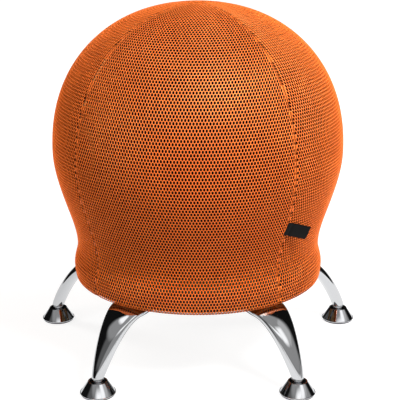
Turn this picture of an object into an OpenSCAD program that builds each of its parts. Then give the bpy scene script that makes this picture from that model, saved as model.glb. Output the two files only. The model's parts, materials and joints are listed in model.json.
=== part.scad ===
// Ball stool: an inflated ball in a stretched mesh cover, on a round board with five curved legs.
// The origin is on the floor under the middle of the seat. +Z is up and the front faces -Y.

/* [Seat ball] */
// Widest radius of the inflated ball
ball_r = 232.6; // [222:0.1:242]
// Height of the ball's widest circle above the board
ball_low_h = 197; // [180:1:215]
// Height of the ball's crown above its widest circle
ball_high_h = 228.6; // [200:0.1:250]
// Fullness of the crown, where 2 is an ellipse and more is squarer
crown_fullness = 2.17; // [2:0.01:2.6]
// Thickness of the ball's skin
ball_wall = 1.5; // [1:0.1:3]
// Radius of the flat patch that the ball rests on
ball_rest_r = 90; // [60:1:120]
// Radius of the valve hole in the ball
valve_r = 4.6; // [3.5:0.1:6]
// Radius of the thick patch around the valve
valve_boss_r = 16; // [12:0.5:22]
// Height of the thick patch around the valve
valve_boss_h = 7; // [4:0.5:12]
// Radius of the valve plug's rim
plug_rim_r = 8; // [7.5:0.5:12]
// Thickness of the valve plug's rim
plug_rim_t = 1.8; // [1:0.1:3]
// Length of the valve plug's stem
plug_stem_l = 12; // [8:0.5:16]

/* [Mesh cover] */
// Thickness of the spacer mesh
mesh_t = 3; // [2:0.1:5]
// How far the cover is drawn in at the shoulder, below the widest circle
shoulder_draw = 18.2; // [12:0.1:24]
// Height of the shoulder above the board's underside
shoulder_rise = 125.5; // [110:0.5:140]
// Lean of the cover at the shoulder, from upright
shoulder_lean = 18; // [12:0.5:24]
// How far the waist lies inside the flare over the board's edge
waist_draw = 6; // [2:0.1:10]
// Height of the waist above the board's underside
waist_rise = 51; // [44:0.5:60]
// Height of the flare above the board's underside
flare_rise = 17; // [12:0.5:22]
// How far the cover's lower edge lies inside the flare
lower_draw = 1.6; // [0.5:0.1:3]
// Radius of the opening in the hem under the board
hem_r = 163; // [150:1:175]
// Thickness of one layer of the hem tape
hem_layer = 1; // [0.6:0.1:1.2]
// Width of the hem's turned-back layer
hem_return_w = 13; // [8:1:18]
// Width of the elastic band in the hem
elastic_w = 9; // [5:0.5:16]
// Number of sewn gores
gores = 4; // [3:1:8]
// Turn of the labelled seam from the front, seen from above
seam_turn = 38.5; // [0:0.5:60]
// Width of a seam
seam_w = 3; // [2:0.1:5]
// Height of a seam above the mesh
seam_proud = 0.6; // [0.3:0.1:1.5]

/* [Label tab] */
// Length of the tab from the seam to its free end
label_l = 37; // [20:1:50]
// Height of the tab along the seam
label_h = 23; // [12:0.5:30]
// Thickness of the folded tab
label_t = 1.4; // [0.8:0.1:2]
// Height of the tab's middle above the board's underside
label_rise = 125; // [95:1:135]
// Droop of the tab's free end
label_droop = 11; // [0:1:25]
// Angle at which the tab stands off the cover
label_off = 20; // [6:1:30]
// Depth of the tab's sewn edge inside the seam
label_sewn = 1.6; // [1:0.1:2.5]
// Radius of the tab's free corners
label_round = 2; // [1:0.5:4]

/* [Board] */
// Height of the board's underside above the floor
board_z = 129.5; // [122:0.5:140]
// Radius of the board
board_r = 198; // [190:1:205]
// Thickness of the board
board_t = 15; // [12:0.5:20]
// Radius of the hole that reaches the valve
access_r = 30; // [22:1:38]
// Thickness of the edge ring around the board
edge_t = 4.6; // [3:0.1:7]
// Height of the edge ring above the board's underside
edge_h = 29; // [24:0.5:34]
// Width of the edge ring's lip on the board
edge_lip_w = 10; // [6:0.5:16]
// Radius of the edge ring's rounded shoulder
edge_round = 6; // [3:0.5:7]
// How far that shoulder lies inside the ring's widest face
edge_draw = 1; // [0.5:0.1:2]
// Chamfer of the edge ring's lip
edge_lip_bevel = 2; // [1:0.5:4]

/* [Legs] */
// Number of legs
legs = 5; // [5:1:6]
// Radius of the circle on which the feet stand
foot_circle_r = 262; // [250:1:275]
// Height of the lower end of the leg
leg_end_z = 27; // [25:0.5:32]
// Inward lean of the leg at its foot
leg_lean = 16; // [10:0.5:20]
// Length of the straighter stretch above the foot
leg_foot_reach = 26; // [18:1:34]
// Length of the flatter stretch at the root of the leg
leg_root_reach = 66; // [50:1:75]
// Half thickness of the leg at its foot
leg_foot_thick = 10.1; // [9.5:0.1:11.5]
// Half thickness of the leg where it passes under the hem
leg_root_thick = 10.5; // [9:0.1:12]
// Half width of the leg at its foot
leg_foot_wide = 9; // [8.5:0.1:11]
// Half width of the leg where it passes under the hem
leg_root_wide = 34; // [28:0.5:38]
// How late the leg widens, where 1 is evenly
leg_flare_power = 1.16; // [0.9:0.01:1.5]
// Thickness of the mounting pad
pad_t = 12; // [10:0.5:15]
// How far the leg's tail lies inside the mounting pad's faces
pad_cover = 2; // [1:0.5:3]
// How far the mounting pad's outer end passes inside the hem's opening
pad_hem_gap = 2; // [1:0.5:4]
// Radius at which the mounting pad's round inner end is centred
pad_in_x = 84; // [76:1:92]
// Half width of the mounting pad's inner end
pad_in_wide = 22; // [18:1:26]
// Half width of the mounting pad's outer end
pad_out_wide = 33; // [28:1:38]

/* [Screws] */
// Radius of a leg screw's shank
screw_r = 3; // [2.5:0.5:4]
// Radius of a leg screw's head
screw_head_r = 5.25; // [4.5:0.25:6.5]
// Height of a leg screw's head
screw_head_h = 3.5; // [2.5:0.5:4.5]
// Thickness of the leg under a screw's head
screw_grip = 8; // [5:0.5:9]
// Radius of a tee nut's barrel
tee_barrel_r = 4.2; // [4:0.1:5.5]
// How far a tee nut's barrel ends above the board's underside
tee_barrel_short = 4; // [2:0.5:7]
// Radius of a tee nut's flange
tee_flange_r = 9; // [7:0.5:11]
// Thickness of a tee nut's flange
tee_flange_t = 1.5; // [1:0.1:2]
// Radius of the inner screw's place
screw_in_x = 88; // [84:1:94]
// Radius of the outer screws' places
screw_out_x = 143; // [136:1:148]
// Sideways place of the outer screws
screw_side = 18; // [14:1:21]

/* [Feet] */
// Radius of the levelling stud's thread
stud_r = 4; // [3:0.5:4]
// Length of thread inside the leg
stud_l = 13; // [10:0.5:16]
// How far the insert reaches past the stud's thread
insert_spare = 1; // [0.5:0.5:2]
// Free depth of the leg's bore above the insert
bore_spare = 0.5; // [0.3:0.1:1]
// Radius of the threaded insert in the leg
insert_r = 5.25; // [4.75:0.25:5.5]
// Height of the stud's hexagonal collar
collar_h = 1.7; // [1.2:0.1:2.5]
// Corner radius of the stud's hexagonal collar
collar_r = 9.6; // [8.5:0.1:9.8]
// Radius of the swivel ball
swivel_r = 9.8; // [9.2:0.1:10]
// Height of the swivel ball's centre above the floor
swivel_z = 17.6; // [17:0.1:18.4]
// Radius of the swivel ball's neck
neck_r = 9; // [8:0.1:9.1]
// Radius of the stud's spigot in the swivel ball
spigot_r = 3; // [2.5:0.1:3.5]
// Radius of the spigot's riveted head
rivet_r = 4.8; // [4.2:0.1:5]
// Thickness of the spigot's riveted head
rivet_h = 1.6; // [1.2:0.1:2]
// Height of the riveted head above the swivel ball's lowest point
rivet_rise = 2.4; // [2.2:0.1:3]
// How far the riveted head stands out of the swivel ball's flat underside
rivet_proud = 0.3; // [0.2:0.1:0.5]
// Bottom radius of the glide cone
glide_r = 27.9; // [25:0.1:31]
// Thickness of the glide cone's lower flange
glide_flange_t = 1.5; // [1:0.1:2.5]
// Height of the glide cone's rim above the floor
glide_h = 22; // [21.5:0.1:22.6]
// Top radius of the glide cone
glide_top_r = 15.4; // [14.8:0.1:17]
// Radius of the recess in the glide cone's top
recess_r = 12.7; // [12.4:0.1:13]
// Depth of the recess in the glide cone's top
recess_depth = 3.4; // [3:0.1:3.8]
// Step from the recess out to the cone's bore
recess_step = 0.9; // [0.6:0.1:1.2]
// Rounding of the glide cone's rims
rim_round = 0.6; // [0.4:0.1:0.8]
// Wall of the glide cone
glide_wall = 1.6; // [1.2:0.1:1.8]
// Height of the swivel seat's rim above the swivel ball's centre
seat_rise = 1.7; // [1.3:0.1:2]
// Thickness of the floor pad
floor_pad_t = 2.6; // [1.5:0.1:3.5]
// How far the floor pad lies inside the glide cone's edge
floor_pad_inset = 1.6; // [1:0.1:3]
// Chamfer of the floor pad's lower edge
floor_pad_bevel = 0.4; // [0.2:0.1:0.8]

/* [Clearances] */
// Gap around a soft or set-in piece
soft_gap = 0.3; // [0.2:0.05:0.6]
// Gap around a rigid piece that is set in another
set_gap = 0.1; // [0.05:0.01:0.2]
// Radial clearance of a turning or screwing fit
run_gap = 0.05; // [0.02:0.01:0.09]
// Gap over the leg where it passes under the hem
under_gap = 0.9; // [0.4:0.1:2]

/* [Hidden] */
$fn = 96;
CROWN_STEPS = 22;
SIDE_STEPS = 8;
LEG_RINGS = 16;
ROOT_RINGS = 4;
LEG_SIDES = 24;
SCREW_HOLE_GAP = 0.3;
VALVE_GAP = 0.05;

board_top = board_z + board_t;
equator_z = board_top + ball_low_h;
cover_r = ball_r + soft_gap + mesh_t;
cover_high_h = ball_high_h + soft_gap + mesh_t;
edge_r = board_r + set_gap + edge_t;
flare_r = edge_r + soft_gap + mesh_t;
hem_z = board_z - set_gap - 3 * hem_layer;
lower_r = flare_r - lower_draw;
shoulder = [cover_r - shoulder_draw, board_z + shoulder_rise];
waist = [flare_r - waist_draw, board_z + waist_rise];
flare = [flare_r, board_z + flare_rise];

root_x = hem_r - pad_hem_gap;
root_z = hem_z - under_gap - leg_root_thick;
leg_foot = [foot_circle_r, leg_end_z];
leg_rise = leg_foot + leg_foot_reach * [-sin(leg_lean), cos(leg_lean)];
leg_root = [root_x, root_z];
leg_bend = leg_root + [leg_root_reach, 0];
tail_end = [pad_in_x + pad_in_wide, board_z - pad_t / 2];
tail_bend = leg_root - [(root_x - tail_end[0]) / 2, 0];
tail_thick = pad_t / 2 - pad_cover;
tail_wide = pad_in_wide;

head_seat_z = board_z - screw_grip;
screw_places = [[screw_in_x, 0], [screw_out_x, -screw_side], [screw_out_x, screw_side]];

insert_top = leg_end_z + stud_l + insert_spare;
collar_z = leg_end_z - collar_h;
neck_top = collar_z - set_gap;
rivet_z = swivel_z - swivel_r + rivet_rise;
glide_z = floor_pad_t + set_gap;
seat_top = swivel_z + seat_rise;
cone_foot = [glide_r - rim_round, glide_z + glide_flange_t];
cone_top = [glide_top_r, glide_h - rim_round];
cone_slope = (cone_foot[0] - cone_top[0]) / (cone_top[1] - cone_foot[1]);
cone_wall_r = glide_wall * sqrt(1 + cone_slope * cone_slope);

// Turns of the legs from the front: the first and the last but two stand either side of it.
function leg_turn(k) = (k - 1.5) * 360 / legs;

function reversed(list) = [for (i = [len(list) - 1:-1:0]) list[i]];

// Quarter of a rounded crown, from the pole to the widest circle, moved in by a distance.
function crown(inset) = [
    for (i = [0:CROWN_STEPS])
        let (turn = 90 - 90 * i / CROWN_STEPS, power = 2 / crown_fullness)
        [
            (cover_r - inset) * pow(cos(turn), power),
            equator_z + (cover_high_h - inset) * pow(sin(turn), power)
        ]
];

// Radius at height z on the smooth curve from point a to point b, where a lean is radius over height.
function side_r(a, lean_a, b, lean_b, z) =
    let (drop = b[1] - a[1], t = (z - a[1]) / drop, t2 = t * t, t3 = t2 * t)
    (2 * t3 - 3 * t2 + 1) * a[0] + (3 * t2 - 2 * t3) * b[0]
        + ((t3 - 2 * t2 + t) * lean_a + (t3 - t2) * lean_b) * drop;

function side_curve(a, lean_a, b, lean_b, inset) = [
    for (i = [1:SIDE_STEPS])
        let (z = blend(a[1], b[1], i / SIDE_STEPS))
        [side_r(a, lean_a, b, lean_b, z) - inset, z]
];

// Stretch of the cover that lies on the ball below its widest circle.
function flank(inset) =
    side_curve([cover_r, equator_z], 0, shoulder, tan(shoulder_lean), inset);

// Stretch of the cover that bridges from the ball to the board's edge.
function waistline(inset) = concat(
    side_curve(shoulder, tan(shoulder_lean), waist, 0, inset),
    side_curve(waist, 0, flare, 0, inset)
);

function bezier(a, b, c, d, t) =
    pow(1 - t, 3) * a + 3 * pow(1 - t, 2) * t * b + 3 * (1 - t) * t * t * c + t * t * t * d;

function bezier_way(a, b, c, d, t) =
    3 * pow(1 - t, 2) * (b - a) + 6 * (1 - t) * t * (c - b) + 3 * t * t * (d - c);

// Lower part of the ball, inside the waist and free of the cover, down to its flat patch.
function ball_bottom(inset) =
    let (
        start = [shoulder[0] - inset, shoulder[1]],
        depth = (shoulder[1] - board_top) / 2,
        rest_z = board_top + inset - mesh_t - soft_gap
    )
    [
        for (i = [1:SIDE_STEPS + 2])
            bezier(
                start,
                [min(shoulder[0] - depth * tan(shoulder_lean), waist[0]) - inset, shoulder[1] - depth],
                [(shoulder[0] + ball_rest_r) / 2, rest_z],
                [ball_rest_r, rest_z],
                i / (SIDE_STEPS + 2)
            )
    ];

function ball_outline(inset) =
    concat(crown(inset), flank(inset), ball_bottom(inset));

// One ring of the leg: its middle, its upward side, half thickness and half width.
function leg_ring(middle, way, thick, wide) =
    let (side = [way[1], -way[0]] / norm(way))
    [
        for (j = [0:LEG_SIDES - 1])
            let (turn = 360 * j / LEG_SIDES)
            [
                middle[0] + side[0] * thick * cos(turn),
                wide * sin(turn),
                middle[1] + side[1] * thick * cos(turn)
            ]
    ];

function blend(a, b, t) = a + (b - a) * t;

// Rings from just below the foot end to the hem, then the tail that runs out in the mounting pad.
function leg_rings() = concat(
    [
        for (i = [-1:LEG_RINGS])
            let (t = i / LEG_RINGS)
            leg_ring(
                bezier(leg_foot, leg_rise, leg_bend, leg_root, t),
                bezier_way(leg_foot, leg_rise, leg_bend, leg_root, t),
                blend(leg_foot_thick, leg_root_thick, t),
                blend(leg_foot_wide, leg_root_wide, pow(max(t, 0), leg_flare_power))
            )
    ],
    [
        for (i = [1:ROOT_RINGS])
            let (t = i / ROOT_RINGS)
            leg_ring(
                bezier(leg_root, tail_bend, tail_bend, tail_end, t),
                bezier_way(leg_root, tail_bend, tail_bend, tail_end, t),
                blend(leg_root_thick, tail_thick, t),
                blend(leg_root_wide, tail_wide, t)
            )
    ]
);

module tube_from_rings(rings) {
    sides = len(rings[0]);
    last = len(rings) - 1;
    points = [for (ring = rings) for (point = ring) point];
    skin = [
        for (i = [0:last - 1])
            for (j = [0:sides - 1])
                let (a = i * sides + j, b = i * sides + (j + 1) % sides)
                each [[a, b + sides, b], [a, a + sides, b + sides]]
    ];
    foot_cap = [[for (j = [0:sides - 1]) j]];
    root_cap = [[for (j = [0:sides - 1]) (last + 1) * sides - 1 - j]];
    polyhedron(points, concat(skin, foot_cap, root_cap), convexity = 6);
}

module at_leg(k) {
    rotate([0, 0, leg_turn(k) - 90]) children();
}

module at_foot(k) {
    at_leg(k) translate([foot_circle_r, 0, 0]) children();
}

module at_each_screw() {
    for (k = [1:legs]) {
        at_leg(k) {
            for (place = screw_places) translate(place) children();
        }
    }
}

module revolve(outline) {
    rotate_extrude() polygon(outline);
}

module ring(outer_r, inner_r, low_z, height) {
    translate([0, 0, low_z]) {
        difference() {
            cylinder(r = outer_r, h = height);
            translate([0, 0, -1]) cylinder(r = inner_r, h = height + 2);
        }
    }
}

module at_each_seam() {
    for (g = [0:gores - 1]) rotate([0, 0, seam_turn - 90 + g * 360 / gores]) children();
}

// Thin ridge along a meridian of the cover, from beside the pole down to the flare.
module seam() {
    spread = seam_w / cover_r * 180 / PI;
    path = concat(crown(-seam_proud), flank(-seam_proud), waistline(-seam_proud));
    core = concat(crown(mesh_t / 2), flank(mesh_t / 2), waistline(mesh_t / 2));
    count = len(path) - 1;
    rotate([0, 0, -spread / 2])
    rotate_extrude(angle = spread)
    polygon(concat([for (i = [1:count]) path[i]], [for (i = [count:-1:1]) core[i]]));
}

module base_board() {
    color("burlywood")
    difference() {
        translate([0, 0, board_z]) cylinder(r = board_r, h = board_t);
        translate([0, 0, board_z - 1]) cylinder(r = access_r, h = board_t + 2);
        at_each_screw() {
            translate([0, 0, board_z - 1]) cylinder(r = tee_barrel_r + set_gap, h = board_t);
            translate([0, 0, board_top - tee_flange_t - set_gap])
                cylinder(r = tee_flange_r + set_gap, h = board_t);
        }
    }
}

module edge_ring() {
    inner_r = board_r + set_gap;
    lip_r = inner_r - edge_lip_w;
    top_z = board_z + edge_h;
    shoulder_r = edge_r - edge_round - edge_draw;
    round_z = top_z - edge_round;
    color("dimgray")
    revolve(concat(
        [[inner_r, board_z], [edge_r - lower_draw, board_z], flare - [mesh_t + soft_gap, 0]],
        [for (turn = [0:15:90]) [shoulder_r + edge_round * cos(turn), round_z + edge_round * sin(turn)]],
        [[lip_r + edge_lip_bevel, top_z], [lip_r, top_z - edge_lip_bevel]],
        [[lip_r, board_top + set_gap]],
        [[inner_r, board_top + set_gap]]
    ));
}

module ball_bladder() {
    skin = mesh_t + soft_gap;
    color("black")
    difference() {
        union() {
            difference() {
                revolve(concat(ball_outline(skin), [[0, board_top]]));
                revolve(concat(ball_outline(skin + ball_wall), [[0, board_top + ball_wall]]));
            }
            translate([0, 0, board_top]) cylinder(r = valve_boss_r, h = valve_boss_h);
        }
        translate([0, 0, board_top - 1]) cylinder(r = valve_r, h = valve_boss_h + 2);
    }
}

module valve_plug() {
    rim_z = board_top - set_gap - plug_rim_t;
    color("white") {
        translate([0, 0, rim_z]) cylinder(r = plug_rim_r, h = plug_rim_t);
        translate([0, 0, rim_z]) cylinder(r = valve_r - VALVE_GAP, h = plug_rim_t + plug_stem_l);
    }
}

module mesh_cover() {
    inner_low_r = lower_r - mesh_t;
    return_r = hem_r + hem_return_w;
    color("darkorange")
    union() {
        at_each_seam() seam();
        revolve(concat(
            crown(0),
            flank(0),
            waistline(0),
            [[lower_r, hem_z + hem_layer], [lower_r - hem_layer, hem_z], [hem_r, hem_z]],
            [[hem_r, hem_z + 3 * hem_layer], [return_r, hem_z + 3 * hem_layer]],
            [[return_r, hem_z + 2 * hem_layer], [hem_r + hem_layer, hem_z + 2 * hem_layer]],
            [[hem_r + hem_layer, hem_z + hem_layer], [inner_low_r, hem_z + hem_layer]],
            reversed(concat(crown(mesh_t), flank(mesh_t), waistline(mesh_t)))
        ));
    }
}

module hem_elastic() {
    band_r = hem_r + hem_layer + set_gap;
    color("white")
    ring(band_r + elastic_w, band_r, hem_z + hem_layer + run_gap, hem_layer - 2 * run_gap);
}

// A folded tab with rounded free corners. Its sewn edge leans with the seam that holds it.
module label_tab() {
    z = board_z + label_rise;
    place_r = z > shoulder[1]
        ? side_r([cover_r, equator_z], 0, shoulder, tan(shoulder_lean), z)
        : side_r(shoulder, tan(shoulder_lean), waist, 0, z);
    color("black")
    rotate([0, 0, seam_turn - 90])
    translate([place_r, 0, z])
    rotate([0, shoulder_lean, 0])
    rotate([0, 0, -90 - label_off])
    rotate([0, -label_droop, 0])
    translate([0, label_t / 2, -label_h / 2])
    rotate([90, 0, 0])
    linear_extrude(label_t) {
        translate([-label_l, label_round]) square([label_l + label_sewn, label_h - 2 * label_round]);
        translate([label_round - label_l, 0]) square([label_l + label_sewn - label_round, label_h]);
        translate([label_round - label_l, label_round]) circle(r = label_round);
        translate([label_round - label_l, label_h - label_round]) circle(r = label_round);
    }
}

module leg_screw() {
    color("silver")
    difference() {
        union() {
            translate([0, 0, head_seat_z - screw_head_h]) cylinder(r = screw_head_r, h = screw_head_h);
            translate([0, 0, head_seat_z - 1]) cylinder(r = screw_r, h = screw_grip + board_t - 1);
        }
        translate([0, 0, head_seat_z - screw_head_h - 1])
            cylinder(r = screw_r * 0.75, h = screw_head_h, $fn = 6);
    }
}

module tee_nut() {
    barrel_l = board_t - tee_barrel_short;
    flange_z = board_top - tee_flange_t;
    color("silver")
    difference() {
        union() {
            translate([0, 0, flange_z]) cylinder(r = tee_flange_r, h = tee_flange_t);
            translate([0, 0, board_top - barrel_l]) cylinder(r = tee_barrel_r, h = barrel_l);
        }
        translate([0, 0, board_z]) cylinder(r = screw_r + run_gap, h = board_t + 1);
    }
}

module leg_screws() {
    at_each_screw() leg_screw();
}

module tee_nuts() {
    at_each_screw() tee_nut();
}

module mounting_pad() {
    translate([0, 0, board_z - pad_t])
    linear_extrude(pad_t)
    intersection() {
        circle(r = root_x);
        union() {
            translate([pad_in_x, 0]) circle(r = pad_in_wide);
            polygon([
                [pad_in_x, -pad_in_wide],
                [root_x + 1, -pad_out_wide],
                [root_x + 1, pad_out_wide],
                [pad_in_x, pad_in_wide]
            ]);
        }
    }
}

module leg(k) {
    below = 20;
    color("gainsboro")
    at_leg(k)
    difference() {
        union() {
            tube_from_rings(leg_rings());
            mounting_pad();
        }
        translate([foot_circle_r - below, -below, leg_end_z - below]) cube([2 * below, 2 * below, below]);
        translate([foot_circle_r, 0, leg_end_z - 1])
            cylinder(r = insert_r + run_gap, h = 1 + insert_top + bore_spare - leg_end_z);
        for (place = screw_places) {
            translate([place[0], place[1], leg_end_z]) cylinder(r = screw_r + SCREW_HOLE_GAP, h = board_z);
            translate([place[0], place[1], leg_end_z])
                cylinder(r = screw_head_r + SCREW_HOLE_GAP, h = head_seat_z - leg_end_z);
        }
    }
}

module thread_insert(k) {
    color("goldenrod")
    at_foot(k) ring(insert_r, stud_r + run_gap, leg_end_z + set_gap, insert_top - leg_end_z - set_gap);
}

module levelling_stud(k) {
    color("silver")
    at_foot(k) {
        translate([0, 0, leg_end_z - 0.5]) cylinder(r = stud_r, h = stud_l + 0.5);
        translate([0, 0, collar_z]) cylinder(r = collar_r, h = collar_h, $fn = 6);
        translate([0, 0, rivet_z]) cylinder(r = spigot_r, h = collar_z + 0.5 - rivet_z);
        translate([0, 0, rivet_z]) cylinder(r = rivet_r, h = rivet_h);
    }
}

module swivel_ball(k) {
    low_z = rivet_z - rivet_proud;
    color("lightsteelblue")
    at_foot(k)
    difference() {
        union() {
            intersection() {
                translate([0, 0, swivel_z]) sphere(r = swivel_r);
                translate([0, 0, low_z]) cylinder(r = 2 * swivel_r, h = neck_top - low_z);
            }
            translate([0, 0, swivel_z]) cylinder(r = neck_r, h = neck_top - swivel_z);
        }
        translate([0, 0, low_z - 1]) cylinder(r = spigot_r + run_gap, h = 3 * swivel_r);
        translate([0, 0, low_z - 1]) cylinder(r = rivet_r + run_gap, h = rivet_z + rivet_h + run_gap - low_z + 1);
    }
}

module glide_cone(k) {
    inner_foot = [cone_foot[0] - cone_wall_r, cone_foot[1] + rim_round];
    turned_r = recess_r + recess_step;
    turned_z = cone_top[1] - (turned_r + cone_wall_r - cone_top[0]) / cone_slope;
    color("whitesmoke")
    at_foot(k)
    revolve([
        [inner_foot[0], glide_z],
        [glide_r, glide_z],
        [glide_r, cone_foot[1] - rim_round / 2],
        cone_foot,
        cone_top,
        [glide_top_r - rim_round, glide_h],
        [recess_r + rim_round, glide_h],
        [recess_r, glide_h - rim_round],
        [recess_r, glide_h - recess_depth],
        [turned_r, glide_h - recess_depth],
        [turned_r, turned_z],
        inner_foot
    ]);
}

module glide_seat(k) {
    low_r = cone_foot[0] - cone_wall_r - set_gap;
    shelf_z = glide_h - recess_depth - set_gap;
    shelf_r = low_r - (shelf_z - cone_foot[1]) * cone_slope;
    color("black")
    at_foot(k)
    difference() {
        revolve([
            [0, glide_z],
            [low_r, glide_z],
            [low_r, cone_foot[1] + rim_round - set_gap],
            [shelf_r, shelf_z],
            [recess_r - set_gap, shelf_z],
            [recess_r - set_gap, seat_top],
            [0, seat_top]
        ]);
        translate([0, 0, swivel_z]) sphere(r = swivel_r + run_gap);
    }
}

module floor_pad(k) {
    pad_r = glide_r - floor_pad_inset;
    color("slategray")
    at_foot(k) {
        translate([0, 0, floor_pad_bevel]) cylinder(r = pad_r, h = floor_pad_t - floor_pad_bevel);
        cylinder(r1 = pad_r - floor_pad_bevel, r2 = pad_r, h = floor_pad_bevel);
    }
}

base_board();
edge_ring();
ball_bladder();
valve_plug();
mesh_cover();
hem_elastic();
label_tab();
leg_screws();
tee_nuts();
for (k = [1:legs]) {
    leg(k);
    thread_insert(k);
    levelling_stud(k);
    swivel_ball(k);
    glide_cone(k);
    glide_seat(k);
    floor_pad(k);
}
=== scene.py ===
"""Ball stool: the knitted cover, the ball, the chromed legs and glides, and the studio round them.

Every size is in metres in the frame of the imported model: the floor is z = 0, +Z is up and the front faces -Y.
"""

import json
import logging
import math
from dataclasses import dataclass, field
from enum import Enum, IntEnum
from typing import NamedTuple

import bpy
import numpy as np
from mathutils import Matrix, Vector

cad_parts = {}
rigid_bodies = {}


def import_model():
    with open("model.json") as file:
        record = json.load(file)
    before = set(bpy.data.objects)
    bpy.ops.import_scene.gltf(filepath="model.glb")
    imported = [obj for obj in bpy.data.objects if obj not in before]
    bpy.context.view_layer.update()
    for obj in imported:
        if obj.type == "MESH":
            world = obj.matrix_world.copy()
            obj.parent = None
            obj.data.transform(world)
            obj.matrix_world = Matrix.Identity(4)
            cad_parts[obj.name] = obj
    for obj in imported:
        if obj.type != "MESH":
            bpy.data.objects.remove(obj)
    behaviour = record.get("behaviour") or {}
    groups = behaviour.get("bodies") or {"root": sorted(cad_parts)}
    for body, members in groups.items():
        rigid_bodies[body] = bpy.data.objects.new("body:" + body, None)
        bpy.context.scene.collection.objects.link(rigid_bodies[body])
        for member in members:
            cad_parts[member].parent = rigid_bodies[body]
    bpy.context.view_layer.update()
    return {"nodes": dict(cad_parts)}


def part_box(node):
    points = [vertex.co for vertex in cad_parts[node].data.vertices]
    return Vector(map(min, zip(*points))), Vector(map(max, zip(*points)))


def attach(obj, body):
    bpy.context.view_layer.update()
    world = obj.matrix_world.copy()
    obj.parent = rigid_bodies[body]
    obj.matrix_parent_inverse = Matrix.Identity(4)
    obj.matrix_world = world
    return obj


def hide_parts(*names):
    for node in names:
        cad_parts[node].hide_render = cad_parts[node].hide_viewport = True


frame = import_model()

LOG = logging.getLogger("ball_stool")
MM = 0.001
# The seam that carries the label tab, turned from the +X axis.
SEAM_TURN = math.radians(38.5 - 90)

# Points nearer to each other than this are one point.
WELD = 0.002 * MM
# How far the gores' lower edge stays above the CAD cover's.
CLEAR = 0.1 * MM

# Two numbers, such as a point of an outline or the ends of a range, and three.
Pair = tuple[float, float]
Triple = tuple[float, float, float]


class Slot(Enum):
    """Material slots of the record, passed along with the new pieces."""

    MESH = "orange_mesh"
    BALL = "ball_skin"
    LABEL = "label_fabric"
    CASTING = "chromed_casting"
    CHROME = "chromed_steel"


class Body(Enum):
    """Moving bodies that pieces ride on. A foot's own bodies take its number."""

    ROOT = "root"
    GLIDE = "glide_{}"


class Mix(IntEnum):
    """Sockets of the Mix node, whose names repeat: its share, its two values and its two colours."""

    SHARE = 0
    LOW = 2
    HIGH = 3
    LOW_COLOUR = 6
    HIGH_COLOUR = 7


# The output of the Mix node that gives its mixed colour.
MIXED_COLOUR = 2


def linear(colour: str) -> tuple[float, float, float, float]:
    """Turns an sRGB hex colour into the linear values that a shader takes.

    Args:
        colour: six hex digits after a hash sign.

    Returns:
        Red, green, blue and an alpha of one.
    """
    parts = [int(colour[i : i + 2], 16) / 255 for i in (1, 3, 5)]
    red, green, blue = (c / 12.92 if c <= 0.04045 else ((c + 0.055) / 1.055) ** 2.4 for c in parts)
    return red, green, blue, 1.0


def add(tree: bpy.types.NodeTree, kind: str, settings: dict | None = None, links: dict | None = None) -> bpy.types.Node:
    """Adds one shader node.

    Args:
        tree: the node tree it goes into.
        kind: its type, without the ShaderNode that all types start with.
        settings: values for its attributes, or for its sockets by name or number.
        links: output sockets that feed its sockets, by the fed socket's name or number.

    Returns:
        The new node.
    """
    node = tree.nodes.new("ShaderNode" + kind)
    for key, value in (settings or {}).items():
        if isinstance(key, str) and hasattr(node, key):
            setattr(node, key, value)
        else:
            node.inputs[key].default_value = value
    for key, source in (links or {}).items():
        tree.links.new(source, node.inputs[key])
    return node


def span(start: float, end: float, first: float, last: float) -> dict[str, float]:
    """Socket values that turn one range into another: its start into the first value, its end into the last."""
    return {"From Min": start, "From Max": end, "To Min": first, "To Max": last}


@dataclass(frozen=True)
class Finish:
    """An even surface: the start of every finish here."""

    name: str
    colour: str
    roughness: float = 0.5
    metallic: float = 0.0

    def make(self) -> bpy.types.Material:
        """Builds the material, or returns it if it is there already."""
        if self.name in bpy.data.materials:
            return bpy.data.materials[self.name]
        material = bpy.data.materials.new(self.name)
        material.use_nodes = True
        tree = material.node_tree
        shader = tree.nodes["Principled BSDF"]
        shader.inputs["Base Color"].default_value = linear(self.colour)
        shader.inputs["Roughness"].default_value = self.roughness
        shader.inputs["Metallic"].default_value = self.metallic
        self.dress(tree, shader)
        return material

    def dress(self, tree: bpy.types.NodeTree, shader: bpy.types.Node) -> None:
        """Adds the surface's own pattern. An even finish has none."""

    def mottle(
        self,
        tree: bpy.types.NodeTree,
        shader: bpy.types.Node,
        other: str,
        size: float,
        stretch: Vector = Vector((1, 1, 1)),
    ) -> bpy.types.Node:
        """Varies the colour between the finish's own and another.

        Args:
            tree: the material's nodes.
            shader: its Principled node.
            other: the other colour, in hex.
            size: size of a patch, in metres.
            stretch: how much finer the pattern is along each axis.

        Returns:
            The noise node, for other uses.
        """
        place = add(tree, "TexCoord")
        turned = add(tree, "Mapping", {"Scale": stretch / size}, {"Vector": place.outputs["Object"]})
        noise = add(tree, "TexNoise", {"Scale": 1.0, "Detail": 3.0}, {"Vector": turned.outputs["Vector"]})
        colours = {"data_type": "RGBA", Mix.LOW_COLOUR: linear(self.colour), Mix.HIGH_COLOUR: linear(other)}
        mix = add(tree, "Mix", colours, {Mix.SHARE: noise.outputs["Fac"]})
        tree.links.new(mix.outputs[MIXED_COLOUR], shader.inputs["Base Color"])
        return noise

    def roughen(self, tree: bpy.types.NodeTree, shader: bpy.types.Node, size: float, depth: float) -> bpy.types.Node:
        """Adds fine relief all over.

        Args:
            tree: the material's nodes.
            shader: its Principled node.
            size: size of a bump, in metres.
            depth: height of a bump, in metres.

        Returns:
            The bump node.
        """
        place = add(tree, "TexCoord")
        noise = add(tree, "TexNoise", {"Scale": 1 / size, "Detail": 2.0}, {"Vector": place.outputs["Object"]})
        bump = add(tree, "Bump", {"Distance": depth, "Strength": 1.0}, {"Height": noise.outputs["Fac"]})
        tree.links.new(bump.outputs["Normal"], shader.inputs["Normal"])
        return bump


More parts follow.
